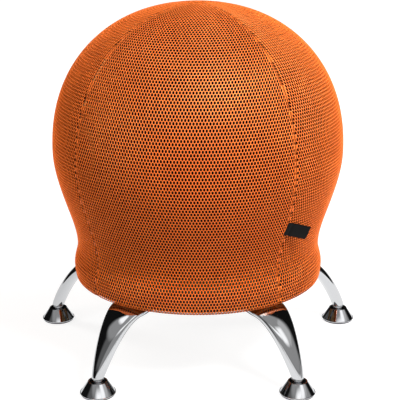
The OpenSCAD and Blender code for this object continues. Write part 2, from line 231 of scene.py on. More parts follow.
@dataclass(frozen=True)
class KnittedPolyester(Finish):
    """Warp-knitted polyester yarn: matt and a little hairy, so it lightens where it is seen edge on."""

    other: str = "#D9631C"
    patch: float = 45 * MM
    # The filaments of the yarn are far finer. Their twist is drawn coarser, so that it shows.
    yarn: float = 0.45 * MM
    twist: float = 0.12 * MM
    fuzz: float = 0.3
    fuzz_spread: float = 0.45
    fuzz_tint: str = "#FFB27A"
    gloss: float = 0.25
    gloss_tint: str = "#FFDF90"

    def dress(self, tree: bpy.types.NodeTree, shader: bpy.types.Node) -> None:
        """Adds patches of a deeper dye, the twist of the yarn and its fuzz.

        Args:
            tree: the material's nodes.
            shader: its Principled node.
        """
        self.mottle(tree, shader, self.other, self.patch)
        self.roughen(tree, shader, self.yarn, self.twist)
        shader.inputs["Sheen Weight"].default_value = self.fuzz
        shader.inputs["Sheen Roughness"].default_value = self.fuzz_spread
        shader.inputs["Sheen Tint"].default_value = linear(self.fuzz_tint)
        shader.inputs["Specular IOR Level"].default_value = self.gloss
        shader.inputs["Specular Tint"].default_value = linear(self.gloss_tint)


@dataclass(frozen=True)
class SatinRibbon(Finish):
    """Polyester satin ribbon: woven so finely that it shows as faint ribs with a soft gloss."""

    # Twice as coarse as the real ribs, so that they show.
    rib: float = 0.55 * MM
    rib_height: float = 0.08 * MM
    gloss: float = 0.2

    def dress(self, tree: bpy.types.NodeTree, shader: bpy.types.Node) -> None:
        """Adds the ribs of the weave.

        Args:
            tree: the material's nodes.
            shader: its Principled node.
        """
        place = add(tree, "TexCoord")
        # At a scale of 1 the bands are a twentieth of tau apart.
        scale = 1 / (self.rib * 20 / math.tau)
        bands = {"wave_type": "BANDS", "bands_direction": "Z", "Scale": scale, "Distortion": 0.6}
        wave = add(tree, "TexWave", bands, {"Vector": place.outputs["Object"]})
        bump = add(tree, "Bump", {"Distance": self.rib_height, "Strength": 0.8}, {"Height": wave.outputs["Fac"]})
        tree.links.new(bump.outputs["Normal"], shader.inputs["Normal"])
        shader.inputs["Specular IOR Level"].default_value = self.gloss


@dataclass(frozen=True)
class PolishedChrome(Finish):
    """Electroplated chrome over a polished part: a mirror that is a little wavy where it was buffed."""

    buffing: float = 16 * MM
    wave_depth: float = 0.035 * MM
    # The scratches are too fine to show one by one, so the haze comes in patches of this size.
    scratch: float = 3 * MM
    haze: float = 0.05

    def dress(self, tree: bpy.types.NodeTree, shader: bpy.types.Node) -> None:
        """Adds the slow waves left by the buffing wheel and a faint haze of fine scratches.

        Args:
            tree: the material's nodes.
            shader: its Principled node.
        """
        self.roughen(tree, shader, self.buffing, self.wave_depth)
        place = add(tree, "TexCoord")
        noise = add(tree, "TexNoise", {"Scale": 1 / self.scratch, "Detail": 4.0}, {"Vector": place.outputs["Object"]})
        levels = span(0.35, 0.75, self.roughness, self.roughness + self.haze)
        spread = add(tree, "MapRange", levels, {"Value": noise.outputs["Fac"]})
        tree.links.new(spread.outputs["Result"], shader.inputs["Roughness"])


@dataclass(frozen=True)
class BurstProofPvc(Finish):
    """Rotationally moulded PVC, stretched by the air inside: smooth, with a soft gloss and fine pores."""

    # The red tint in both colours of the skin is painted light thrown from the orange mesh.
    other: str = "#1A0C09"
    cloud: float = 60 * MM
    # Real pores are about a tenth of this. They are drawn coarser, so that they show.
    pore: float = 0.9 * MM
    pore_depth: float = 0.02 * MM
    gloss: float = 0.03

    def dress(self, tree: bpy.types.NodeTree, shader: bpy.types.Node) -> None:
        """Adds the pores and a faint cloudiness.

        Args:
            tree: the material's nodes.
            shader: its Principled node.
        """
        self.mottle(tree, shader, self.other, self.cloud)
        self.roughen(tree, shader, self.pore, self.pore_depth)
        shader.inputs["Specular IOR Level"].default_value = self.gloss


@dataclass(frozen=True)
class BirchPlywood(Finish):
    """Birch plywood: pale, with long grain in its face and sanded smooth. Its upward faces are drawn near black."""

    other: str = "#B98E5E"
    grain: float = 3 * MM
    # The grain runs twenty times as long as it is wide.
    grain_stretch: Triple = (0.05, 1, 0.4)
    grain_depth: float = 0.06 * MM
    paint: str = "#0A0807"

    def dress(self, tree: bpy.types.NodeTree, shader: bpy.types.Node) -> None:
        """Adds grain along X, as colour and as relief, and draws the upward faces near black, which keeps the wood dark
        behind the mesh.

        Args:
            tree: the material's nodes.
            shader: its Principled node.
        """
        noise = self.mottle(tree, shader, self.other, self.grain, Vector(self.grain_stretch))
        wood = shader.inputs["Base Color"].links[0].from_socket
        axes = add(tree, "SeparateXYZ", {}, {"Vector": add(tree, "TexCoord").outputs["Normal"]})
        upper = add(tree, "Math", {"operation": "GREATER_THAN", 1: 0.5}, {0: axes.outputs["Z"]})
        black = {"data_type": "RGBA", Mix.HIGH_COLOUR: linear(self.paint)}
        darkened = add(tree, "Mix", black, {Mix.SHARE: upper.outputs[0], Mix.LOW_COLOUR: wood})
        tree.links.new(darkened.outputs[MIXED_COLOUR], shader.inputs["Base Color"])
        bump = add(tree, "Bump", {"Distance": self.grain_depth, "Strength": 0.5}, {"Height": noise.outputs["Fac"]})
        tree.links.new(bump.outputs["Normal"], shader.inputs["Normal"])


@dataclass(frozen=True)
class MouldedPlastic(Finish):
    """Injection-moulded plastic with a fine spark-eroded grain."""

    # Spark erosion leaves a finer grain. It is drawn coarser, so that it shows.
    grain: float = 0.7 * MM
    grain_depth: float = 0.03 * MM
    gloss: float = 0.5

    def dress(self, tree: bpy.types.NodeTree, shader: bpy.types.Node) -> None:
        """Adds the mould's grain."""
        self.roughen(tree, shader, self.grain, self.grain_depth)
        shader.inputs["Specular IOR Level"].default_value = self.gloss


@dataclass(frozen=True)
class PlatedSteel(Finish):
    """Zinc-plated or bare turned metal: grey, with the plating's faint cloudiness."""

    other: str = "#9A9DA0"
    cloud: float = 4 * MM
    # Turning marks are finer. They are drawn coarser, so that they show.
    mark: float = 0.5 * MM
    mark_depth: float = 0.01 * MM

    def dress(self, tree: bpy.types.NodeTree, shader: bpy.types.Node) -> None:
        """Adds the clouds of the plating and turning marks."""
        self.mottle(tree, shader, self.other, self.cloud)
        self.roughen(tree, shader, self.mark, self.mark_depth)


@dataclass(frozen=True)
class PressedFelt(Finish):
    """Dense pressed felt: matt, with short fibres lying every way."""

    other: str = "#54525C"
    fleck: float = 1.2 * MM
    # Felt's fibres are a tenth of this. They are drawn as tufts, so that they show.
    fibre: float = 0.4 * MM
    fibre_depth: float = 0.1 * MM
    fuzz: float = 0.2

    def dress(self, tree: bpy.types.NodeTree, shader: bpy.types.Node) -> None:
        """Adds flecks and fibres.

        Args:
            tree: the material's nodes.
            shader: its Principled node.
        """
        self.mottle(tree, shader, self.other, self.fleck)
        self.roughen(tree, shader, self.fibre, self.fibre_depth)
        shader.inputs["Sheen Weight"].default_value = self.fuzz


KNIT = KnittedPolyester("knitted_polyester", "#FB782A", 0.42, other="#EC661F", twist=0.05 * MM, gloss=0.4)
# The strands' sides are the same yarn, drawn dark red-brown: painted shade inside the openings.
KNIT_SIDE_SHADED = KnittedPolyester("knitted_polyester_strand_side_painted_shade", "#7C2206", 0.9, other="#681B05", gloss=0.05, fuzz=0.0)
# The seam's folded edges are the gores' own knit, drawn dark brown: painted shade under the seam.
KNIT_SEAM_SHADED = KnittedPolyester("knitted_polyester_under_seam_painted_shade", "#7A3012", 0.9, other="#5E230C")
# The hem tape is the cover's orange drawn darker: painted shade under the board.
HEM_TAPE_SHADED = KnittedPolyester("polyester_hem_tape_painted_shade", "#B8521A", 0.85, other="#A04514", yarn=0.8 * MM)
THREAD = KnittedPolyester("polyester_sewing_thread", "#E4742C", 0.6, other="#D8651E", yarn=0.3 * MM)
RIBBON = SatinRibbon("black_satin_ribbon", "#060707", 0.6)
# The black skin is drawn with a red tint: painted light from the orange mesh.
BALL_SKIN = BurstProofPvc("burst_proof_pvc", "#140806", 0.6)
CAST_CHROME = PolishedChrome("chrome_on_polished_casting", "#E4E5E7", 0.035, 1.0)
TURNED_CHROME = PolishedChrome("chrome_on_turned_steel", "#E2E3E6", 0.04, 1.0, buffing=9 * MM, wave_depth=0.012 * MM)
PLYWOOD = BirchPlywood("birch_plywood", "#D3AC7C", 0.6)
BLACK_PLASTIC = MouldedPlastic("black_moulded_nylon", "#0E0E0F", 0.6, gloss=0.15)
WHITE_PLASTIC = MouldedPlastic("white_moulded_polyethylene", "#E6E4DE", 0.45)
ZINC = PlatedSteel("zinc_plated_steel", "#B9BCBE", 0.32, 1.0)
# Black, so that nothing pale shows through the mesh.
BLACK_ZINC = PlatedSteel("black_zinc_plated_steel", "#1B1A19", 0.5, 1.0, other="#141312")
BRASS = PlatedSteel("turned_brass", "#C9A65A", 0.3, 1.0, other="#B08C42")
FELT = PressedFelt("grey_pressed_felt", "#6B6974", 0.95)
ELASTIC = KnittedPolyester("woven_elastic", "#DEDCD6", 0.85, other="#CFCDC6", yarn=0.8 * MM)

KEPT_FINISHES = {
    "base_board": PLYWOOD,
    "edge_ring": BLACK_PLASTIC,
    "valve_plug": WHITE_PLASTIC,
    "hem_elastic": ELASTIC,
    "leg_screws": ZINC,
    "tee_nuts": BLACK_ZINC,
    "thread_insert": BRASS,
    "levelling_stud": ZINC,
    "swivel_ball": TURNED_CHROME,
    "glide_seat": BLACK_PLASTIC,
    "floor_pad": FELT,
}


def deselect() -> None:
    """Leaves edit mode and clears the selection."""
    if bpy.context.object and bpy.context.object.mode != "OBJECT":
        bpy.ops.object.mode_set(mode="OBJECT")
    bpy.ops.object.select_all(action="DESELECT")


def pick(piece: bpy.types.Object) -> bpy.types.Object:
    """Makes one piece the only selected and the active object.

    Args:
        piece: the piece to pick.

    Returns:
        The same piece.
    """
    deselect()
    piece.select_set(True)
    bpy.context.view_layer.objects.active = piece
    return piece


def apply_modifier(piece: bpy.types.Object, kind: str, **settings: object) -> None:
    """Adds a modifier to a piece, sets it and applies it.

    Args:
        piece: the piece to finish.
        kind: Blender's name for the modifier's type.
        settings: its values.
    """
    pick(piece)
    modifier = piece.modifiers.new(kind.lower(), kind)
    for key, value in settings.items():
        setattr(modifier, key, value)
    bpy.ops.object.modifier_apply(modifier=modifier.name)


def smooth(piece: bpy.types.Object, degrees: float = 35) -> None:
    """Shades a piece smooth, apart from edges sharper than an angle."""
    pick(piece)
    bpy.ops.object.shade_smooth_by_angle(angle=math.radians(degrees))


def tip(angle: float, centre: Triple) -> None:
    """Turns what is selected about the Y axis through a centre. With no window the operator turns the other way."""
    bpy.ops.transform.rotate(value=-angle, orient_axis="Y", center_override=centre)


def drawn(name: str, line: list[Triple], closed: bool = False) -> bpy.types.Object:
    """Draws a line of edges, point by point.

    Args:
        name: the piece's name.
        line: its points.
        closed: whether the last point joins the first.

    Returns:
        The line, as a mesh.
    """
    deselect()
    bpy.ops.mesh.primitive_plane_add(size=MM)
    piece = bpy.context.object
    piece.name = name
    bpy.ops.object.mode_set(mode="EDIT")
    bpy.ops.mesh.merge(type="CENTER")
    bpy.ops.transform.translate(value=line[0])
    for a, b in zip(line, line[1:] + (line[:1] if closed else [])):
        bpy.ops.mesh.extrude_vertices_move(TRANSFORM_OT_translate={"value": tuple(Vector(b) - Vector(a))})
    bpy.ops.mesh.select_all(action="SELECT")
    bpy.ops.mesh.remove_doubles(threshold=WELD)
    bpy.ops.object.mode_set(mode="OBJECT")
    return piece


def turned(name: str, outline: list[Pair], steps: int = 96, closed: bool = False) -> bpy.types.Object:
    """Turns an outline round the Z axis, as on a lathe.

    Args:
        name: the piece's name.
        outline: (radius, height) points, in order.
        steps: how many steps the full turn takes.
        closed: whether the last point joins the first.

    Returns:
        The turned piece, with its faces outwards.
    """
    piece = pick(drawn(name, [(r, 0, z) for r, z in outline], closed))
    bpy.ops.object.mode_set(mode="EDIT")
    bpy.ops.mesh.select_all(action="SELECT")
    bpy.ops.mesh.spin(steps=steps, angle=math.tau, center=(0, 0, 0), axis=(0, 0, 1))
    bpy.ops.mesh.select_all(action="SELECT")
    bpy.ops.mesh.remove_doubles(threshold=WELD)
    bpy.ops.mesh.normals_make_consistent(inside=False)
    bpy.ops.object.mode_set(mode="OBJECT")
    return piece


def join(piece: bpy.types.Object, tool: bpy.types.Object, way: str) -> None:
    """Adds a tool's shape to a piece or cuts it out, and takes the tool away."""
    apply_modifier(piece, "BOOLEAN", object=tool, operation=way, solver="EXACT")
    bpy.data.objects.remove(tool)


def copied(piece: bpy.types.Object, name: str, place: Matrix) -> bpy.types.Object:
    """Copies a piece with a mesh of its own, and puts the place in the mesh.

    Args:
        piece: the piece to copy.
        name: the copy's name.
        place: where the copy goes.

    Returns:
        The copy.
    """
    mesh = piece.data.copy()
    mesh.transform(place)
    made = bpy.data.objects.new(name, mesh)
    bpy.context.scene.collection.objects.link(made)
    return made


def settle(piece: bpy.types.Object, body: str, slot: Slot, *nodes: str) -> bpy.types.Object:
    """Ties a finished piece to its body and hides the CAD nodes that it stands for.

    Args:
        piece: the finished piece.
        body: the body that it rides on.
        slot: the record's slot for its finish; not used.
        nodes: CAD nodes that it replaces.

    Returns:
        The same piece.
    """
    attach(piece, body)
    if nodes:
        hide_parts(*nodes)
    LOG.info("%s: %d faces, rides on %s", piece.name, len(piece.data.polygons), body)
    return piece


def arc(centre: Pair, radius: float, start: float, end: float, steps: int) -> list[Pair]:
    """Draws a round stretch of an outline.

    Args:
        centre: the middle of the round.
        radius: its radius.
        start: the angle of its first point, in degrees.
        end: the angle of its last point, in degrees.
        steps: how many steps lie between them.

    Returns:
        Its points.
    """
    turns = [math.radians(start + (end - start) * i / steps) for i in range(steps + 1)]
    return [(centre[0] + radius * math.cos(t), centre[1] + radius * math.sin(t)) for t in turns]


def curve_at(t: float, *ends: Pair) -> tuple[Pair, Pair]:
    """Finds a point on a cubic curve.

    Args:
        t: how far along the curve the point is, from 0 to 1.
        ends: the curve's four control points.

    Returns:
        The point, and the curve's direction there.
    """
    a, b, c, d = (Vector(end) for end in ends)
    spot = (1 - t) ** 3 * a + 3 * (1 - t) ** 2 * t * b + 3 * (1 - t) * t * t * c + t**3 * d
    way = 3 * (1 - t) ** 2 * (b - a) + 6 * (1 - t) * t * (c - b) + 3 * t * t * (d - c)
    return tuple(spot), tuple(way)


def moved(points: np.ndarray, place: Matrix) -> np.ndarray:
    """Points, one to a row, put at a place."""
    return points @ np.array(place.to_3x3()).T + np.array(place.translation)


def cloth(
    name: str,
    points: np.ndarray,
    faces: list[list[int]],
    materials: list[bpy.types.Material],
    worn: np.ndarray | None = None,
) -> bpy.types.Object:
    """Makes a cloth piece from its points and faces, because no operator knits a mesh or gathers a tape.

    Args:
        name: the piece's name.
        points: its vertices, in metres.
        faces: its faces, as lists of vertex numbers.
        materials: the materials that it wears.
        worn: which of them each face wears.

    Returns:
        The new piece.
    """
    mesh = bpy.data.meshes.new(name)
    mesh.from_pydata(points.tolist(), [], faces)
    for material in materials:
        mesh.materials.append(material)
    if worn is not None:
        mesh.polygons.foreach_set("material_index", worn.astype(np.int32))
    mesh.polygons.foreach_set("use_smooth", np.ones(len(mesh.polygons), bool))
    mesh.update()
    piece = bpy.data.objects.new(name, mesh)
    bpy.context.scene.collection.objects.link(piece)
    return piece


def lay_flat(piece: bpy.types.Object, across: np.ndarray, along: np.ndarray) -> None:
    """Gives a cloth piece a flat layout, scaled to fill it.

    Args:
        piece: the cloth piece.
        across: where each vertex lies across the cloth.
        along: where each vertex lies along the cloth.
    """
    flat = np.stack([(x - x.min()) / (x.max() - x.min()) for x in (across, along)], axis=1)
    corners = np.empty(len(piece.data.loops), np.int32)
    piece.data.loops.foreach_get("vertex_index", corners)
    piece.data.uv_layers.new(name="OFBake").data.foreach_set("uv", flat[corners].ravel().astype(np.float32))


def strip(rows: int, columns: int, closed: bool = False) -> list[list[int]]:
    """Joins a grid of vertices with faces, row by row.

    Args:
        rows: how many rows of vertices there are.
        columns: how many vertices a row has.
        closed: whether the rows close into rings.

    Returns:
        The faces, as lists of vertex numbers.
    """
    last = columns if closed else columns - 1
    return [
        [i * columns + j, i * columns + (j + 1) % columns, (i + 1) * columns + (j + 1) % columns, (i + 1) * columns + j]
        for i in range(rows - 1)
        for j in range(last)
    ]


@dataclass(frozen=True)
class Stitch:
    """A short length of thread lying on cloth, copied along a row."""

    length: float
    width: float
    height: float
    around: int = 6
    rings: int = 4

    def row(self, name: str, places: list[Matrix], sizes: np.ndarray, finish: Finish) -> bpy.types.Object:
        """Sews a row of stitches.

        Args:
            name: the row's name.
            places: where each stitch lies: its X axis runs along the thread and its Z axis out of the cloth.
            sizes: how long, wide and high each one is, against the plain stitch.
            finish: the thread's finish.

        Returns:
            The row, as one piece.
        """
        deselect()
        bpy.ops.mesh.primitive_uv_sphere_add(segments=self.around, ring_count=self.rings, radius=0.5)
        one = bpy.context.object
        one.data.transform(Matrix.Rotation(math.pi / 2, 4, "Y"))
        shape = np.array([v.co for v in one.data.vertices]) * (self.length, self.width, self.height)
        faces = [list(f.vertices) for f in one.data.polygons]
        bpy.data.objects.remove(one)
        points = [moved(shape * size, place) for place, size in zip(places, sizes)]
        every = [[k * len(shape) + v for v in face] for k in range(len(places)) for face in faces]
        return cloth(name, np.concatenate(points), every, [finish.make()])


@dataclass
class CoverShape:
    """The stretched cover's outline: a crown over the ball, a waist, and a flare over the board's edge."""

    low_z: float
    widest_r: float = 235.9 * MM
    top_z: float = 573.3 * MM
    equator_z: float = 341.5 * MM
    crown_fullness: float = 2.17
    shoulder: Pair = (217.7 * MM, 255 * MM)
    shoulder_lean: float = math.tan(math.radians(18))
    waist: Pair = (200 * MM, 180.5 * MM)
    flare: Pair = (206 * MM, 146.5 * MM)
    lower_r: float = 204.4 * MM
    edge_round: float = 3 * MM
    turned_under: float = 8 * MM
    steps: int = 60
    # How far to each side of a point the surface's slope is taken.
    slope_reach: float = 1.5 * MM
    # Nearer to the axis than this, a distance round the cover is turned as if it were this far out.
    least_r: float = 0.1 * MM
    points: np.ndarray = field(init=False)
    along: np.ndarray = field(init=False)

    def __post_init__(self) -> None:
        """Works out the outline's points and the length along it from the pole."""
        self.points = np.array(self.crown() + self.sides() + self.lower_edge())
        gaps = np.linalg.norm(np.diff(self.points, axis=0), axis=1)
        self.along = np.concatenate([[0], np.cumsum(gaps)])

    def crown(self, inset: float = 0.0) -> list[Pair]:
        """Draws the rounded crown, from the pole to just above the widest circle.

        Args:
            inset: how far inside the cover's surface it lies.

        Returns:
            Its points.
        """
        power = 2 / self.crown_fullness
        turns = [math.pi / 2 * (1 - i / self.steps) for i in range(1, self.steps)]
        wide, high = self.widest_r - inset, self.top_z - self.equator_z - inset
        made = [(wide * math.cos(t) ** power, self.equator_z + high * math.sin(t) ** power) for t in turns]
        return [(0.0, self.equator_z + high)] + made

    def side(self, a: Pair, lean_a: float, b: Pair, lean_b: float) -> list[Pair]:
        """Draws a smooth stretch of the outline between two points.

        Args:
            a: the upper point.
            lean_a: how much the radius grows for each metre of height there.
            b: the lower point.
            lean_b: the same at the lower point.

        Returns:
            The stretch, without its last point.
        """
        drop = b[1] - a[1]
        made = []
        for i in range(self.steps // 3):
            t = i / (self.steps // 3)
            radius = (2 * t**3 - 3 * t**2 + 1) * a[0] + (3 * t**2 - 2 * t**3) * b[0]
            radius += ((t**3 - 2 * t**2 + t) * lean_a + (t**3 - t**2) * lean_b) * drop
            made.append((radius, a[1] + t * drop))
        return made

    def flank(self) -> list[Pair]:
        """The stretch that lies on the ball below its widest circle."""
        return self.side((self.widest_r, self.equator_z), 0, self.shoulder, self.shoulder_lean)

    def sides(self) -> list[Pair]:
        """The flank and the waist that bridges to the board's edge."""
        down = self.side(self.shoulder, self.shoulder_lean, self.waist, 0)
        return self.flank() + down + self.side(self.waist, 0, self.flare, 0)

    def lower_edge(self) -> list[Pair]:
        """The rounded lower edge, and the stretch turned under the board."""
        centre = (self.lower_r - self.edge_round, self.low_z + self.edge_round)
        under = (self.lower_r - self.edge_round - self.turned_under, self.low_z)
        return [self.flare] + arc(centre, self.edge_round, 0, -90, 5) + [under]

    def at(self, along: np.ndarray) -> tuple[np.ndarray, np.ndarray, np.ndarray, np.ndarray]:
        """Reads the outline at lengths along it.

        Args:
            along: distances from the pole.

        Returns:
            The radius, the height, and the outward normal's parts along the radius and upwards.
        """
        radius = np.interp(along, self.along, self.points[:, 0])
        height = np.interp(along, self.along, self.points[:, 1])
        before = np.clip(along - self.slope_reach, 0, None)
        after = np.clip(along + self.slope_reach, None, self.along[-1])
        dr = np.interp(after, self.along, self.points[:, 0]) - np.interp(before, self.along, self.points[:, 0])
        dz = np.interp(after, self.along, self.points[:, 1]) - np.interp(before, self.along, self.points[:, 1])
        size = np.hypot(dr, dz)
        return radius, height, -dz / size, dr / size

    def place(self, across: np.ndarray, along: np.ndarray, depth: np.ndarray, turn: float) -> np.ndarray:
        """Points under the cover's surface.

        Args:
            across: distance round the cover from a meridian.
            along: distance from the pole.
            depth: how far below the surface.
            turn: the meridian's turn about Z, in radians.

        Returns:
            One row of x, y and z for each point.
        """
        radius, height, out_r, out_z = self.at(along)
        turns = turn + across / np.maximum(radius, self.least_r)
        held = radius - depth * out_r
        return np.stack([held * np.cos(turns), held * np.sin(turns), height - depth * out_z], axis=1)

    def frame_at(self, along: float, depth: float, turn: float) -> Matrix:
        """Finds a frame on the surface: X round the cover, Y down along the meridian, Z outwards.

        Args:
            along: distance from the pole.
            depth: how far below the surface.
            turn: turn about Z, in radians.

        Returns:
            The frame's place.
        """
        radius, height, out_r, out_z = (float(x[0]) for x in self.at(np.array([along])))
        held = radius - depth * out_r
        spot = Vector((held * math.cos(turn), held * math.sin(turn), height - depth * out_z))
        out = Vector((out_r * math.cos(turn), out_r * math.sin(turn), out_z))
        round_way = Vector((-math.sin(turn), math.cos(turn), 0))
        return Matrix.Translation(spot) @ Matrix((round_way, out.cross(round_way), out)).transposed().to_4x4()


@dataclass
class MeshCover:
    """The cover: four gores of knitted mesh, the seams between them and the elasticated hem under the board."""

    shape: CoverShape
    gores: int = 4
    seam_turn: float = SEAM_TURN
    wale: float = 4.85 * MM
    course: float = 5.05 * MM
    hole_w: float = 3.4 * MM
    hole_h: float = 5.4 * MM
    face_depth: float = 1.1 * MM
    strand_round: float = 0.45 * MM
    seam_half: float = 1.1 * MM
    seam_dip: float = 0.8 * MM
    seam_pull: float = 7 * MM
    # A hole stays shut where its middle is nearer to the seam's edge than this share of its width.
    least_open: float = 0.1
    rim_clear: float = 0.3 * MM
    # In a gore's flat layout a hole's lower rim is drawn this much smaller, which gives the strands' sides some room.
    lower_rim: float = 0.3
    seam_tape_half: float = 2.6 * MM
    seam_tape_depth: float = 2.3 * MM
    # How much deeper the tape lies at each of its columns.
    seam_tape_sunk: tuple[float, ...] = (0.35 * MM, 0.1 * MM, 0.0, 0.1 * MM, 0.35 * MM)
    seam_tape_end: float = 1 * MM
    seam_tape_rows: int = 160
    # Near the pole the tape is no wider than this share of the radius.
    seam_tape_most: float = 0.7
    seam_stitch: Stitch = Stitch(3.2 * MM, 0.9 * MM, 0.9 * MM)
    # What the stitches leave bare at the pole and at the lower end.
    seam_stitch_ends: Pair = (3 * MM, 2 * MM)
    seam_stitch_depth: float = 0.9 * MM
    # How unlike the stitches are: in size, in lean (its mean and spread, in radians) and in place across the seam.
    seam_stitch_spread: float = 0.22
    seam_stitch_lean: Pair = (0.25, 0.2)
    seam_stitch_slip: float = 0.3 * MM
    seam_seed: int = 40
    hem_inner_r: float = 163.6 * MM
    # The tape's way up over the elastic.
    hem_rise: float = 3 * MM
    # Rings of the hem tape, each with how far out it lies, its height above the lowest edge, and its share of the
    # puckers. The outer rings are measured from the end of the gores, and the inner ones from the hem's inner rim.
    hem_outer: tuple[Triple, ...] = ((1.5 * MM, 0.6 * MM, 0.0), (-4.5 * MM, 0.4 * MM, 0.15))
    hem_inner: tuple[Triple, ...] = (
        (18 * MM, 0.4 * MM, 0.6),
        (8 * MM, 0.4 * MM, 0.9),
        (1.2 * MM, 0.5 * MM, 1.0),
        (0.0, 1.1 * MM, 1.0),
        (0.0, 2.2 * MM, 0.6),
        (1.2 * MM, 2.7 * MM, 0.2),
        (12 * MM, 2.75 * MM, 0.1),
    )
    puckers: int = 84
    pucker_steps: int = 10
    pucker_out: float = 0.5 * MM
    pucker_up: float = 0.34 * MM
    pucker_wander: float = 2.2
    hem_seed: int = 7
    hem_stitch: Stitch = Stitch(3 * MM, 0.9 * MM, 0.7 * MM)
    hem_stitch_rows: Pair = (0.2 * MM, -4.3 * MM)
    hem_stitch_pitch: float = 3.6 * MM
    hem_stitch_lift: float = 0.05 * MM
    hem_stitch_lean: Pair = (0.1, 0.06)
    hem_stitch_seed: int = 11

    def half_width(self, along: np.ndarray) -> np.ndarray:
        """Half width of a gore at a length from the pole, up to the seam's edge."""
        return np.maximum(self.shape.at(along)[0] * math.pi / self.gores - self.seam_half, 0)

    def gore_turn(self, number: float) -> float:
        """Turn of a gore's middle, in radians. Gore 1 faces the front, and a seam is half a gore further."""
        return self.seam_turn + math.tau / self.gores * (number - 1.5)

    def gore(self, number: int) -> bpy.types.Object:
        """Knits one gore: rounded strands round six-sided openings, cut off at its seams.

        Args:
            number: the gore's number, from 1.

        Returns:
            The gore's piece.
        """
        end = float(self.shape.along[-1])
        most = int(self.shape.widest_r * math.pi / self.gores / self.wale) + 2
        row, column = np.meshgrid(np.arange(1, int(end / self.course) + 1), np.arange(-most, most + 1), indexing="ij")
        row, column = row.ravel(), column.ravel()
        u, v = (column + 0.5 * (row % 2)) * self.wale, row * self.course
        limit = self.half_width(np.clip(v, 0, end))
        shown = np.abs(u) < limit + self.wale / 2
        row, column, u, v, limit = (x[shown] for x in (row, column, u, v, limit))
        is_open = np.abs(u) < limit - self.least_open * self.hole_w

        # The strands' net has a corner every half wale and third of a course, shared between neighbours.
        sides = ((0, -2), (-1, -1), (-1, 1), (0, 2), (1, 1), (1, -1))
        keys = np.stack([np.stack([2 * column + row % 2 + du, 3 * row + dv], axis=1) for du, dv in sides], axis=1)
        net, corner = np.unique(keys.reshape(-1, 2), axis=0, return_inverse=True)
        corner = corner.reshape(-1, 6)
        net_u, net_v = net[:, 0] * self.wale / 2, np.clip(net[:, 1] * self.course / 3, 0, end)

        half_w, half_h = self.hole_w / 2, self.hole_h / 2
        side_h = half_h - half_w * 2 * self.course / (3 * self.wale)
        rim = ((0, -half_h), (-half_w, -side_h), (-half_w, side_h), (0, half_h), (half_w, side_h), (half_w, -side_h))
        mid_u, mid_v = np.repeat(u[is_open], 6), np.repeat(v[is_open], 6)
        count = int(is_open.sum())
        rim_u = mid_u + np.tile([x for x, _ in rim], count)
        rim_v = np.clip(mid_v + np.tile([y for _, y in rim], count), 0, end)
        net_edge, rim_edge = self.half_width(net_v), self.half_width(rim_v) - self.rim_clear
        net_u, rim_u = np.clip(net_u, -net_edge, net_edge), np.clip(rim_u, -rim_edge, rim_edge)

        all_u, all_v = np.concatenate([net_u, rim_u, rim_u]), np.concatenate([net_v, rim_v, rim_v])
        depth = np.repeat([0.0, self.strand_round, self.face_depth], [len(net_u), len(rim_u), len(rim_u)])
        beside = np.clip(1 - (self.half_width(all_v) - np.abs(all_u)) / self.seam_pull, 0, 1)
        points = self.shape.place(all_u, all_v, depth + self.seam_dip * beside**2, self.gore_turn(number))

        upper = len(net_u) + 6 * np.arange(count)
        lower = upper + 6 * count
        rings = []
        for i in range(6):
            j = (i + 1) % 6
            rings.append(np.stack([corner[is_open, i], corner[is_open, j], upper + j, upper + i], axis=1))
        for i in range(6):
            j = (i + 1) % 6
            rings.append(np.stack([upper + i, upper + j, lower + j, lower + i], axis=1))
        quads = np.concatenate(rings).tolist()
        filled = corner[~is_open].tolist()
        # The openings' sides wear the second, darker material: painted shade.
        worn = np.repeat([0, 1, 0], [6 * count, 6 * count, len(filled)])
        piece = cloth(f"cover_gore_{number}", points, quads + filled, [KNIT.make(), KNIT_SIDE_SHADED.make()], worn)
        inner_u, inner_v = (mid + self.lower_rim * (rim - mid) for mid, rim in ((mid_u, rim_u), (mid_v, rim_v)))
        lay_flat(piece, np.concatenate([net_u, rim_u, inner_u]), np.concatenate([net_v, rim_v, inner_v]))
        return piece

    def seam_tape(self, number: int) -> bpy.types.Object:
        """Lays the folded edges of two gores under their seam, from the pole to the lower edge.

        Args:
            number: the seam's number, from 0.

        Returns:
            The tape's piece.
        """
        along = np.linspace(0, self.shape.along[-1] - self.seam_tape_end, self.seam_tape_rows)
        across = np.linspace(-1, 1, len(self.seam_tape_sunk)) * self.seam_tape_half
        u, v = np.tile(across, len(along)), np.repeat(along, len(across))
        most = self.seam_tape_most * self.shape.at(v)[0]
        depth = self.seam_tape_depth + np.tile(self.seam_tape_sunk, len(along))
        points = self.shape.place(np.clip(u, -most, most), v, depth, self.gore_turn(number + 1.5))
        faces = [face[::-1] for face in strip(len(along), len(across))]
        # The tape is drawn dark brown: painted shade under the seam.
        return cloth(f"seam_tape_{number + 1}", points, faces, [KNIT_SEAM_SHADED.make()])

    def seam_stitches(self, number: int) -> bpy.types.Object:
        """Ties two gores with a loop of thread for each course, none quite like the next.

        Args:
            number: the seam's number, from 0.

        Returns:
            The stitches, as one piece.
        """
        turn = self.gore_turn(number + 1.5)
        chance = np.random.default_rng(self.seam_seed + number)
        first, spare = self.seam_stitch_ends
        along = np.arange(first, self.shape.along[-1] - spare, self.course)
        sizes = 1 + chance.uniform(-self.seam_stitch_spread, self.seam_stitch_spread, (len(along), 3))
        leans = chance.normal(*self.seam_stitch_lean, len(along))
        slips = chance.normal(0, self.seam_stitch_slip, len(along))
        places = []
        for at, lean, slip in zip(along, leans, slips):
            spot = self.shape.frame_at(at, self.seam_stitch_depth, turn + slip / self.shape.widest_r)
            places.append(spot @ Matrix.Rotation(lean, 4, "Z"))
        return self.seam_stitch.row(f"seam_stitches_{number + 1}", places, sizes, THREAD)

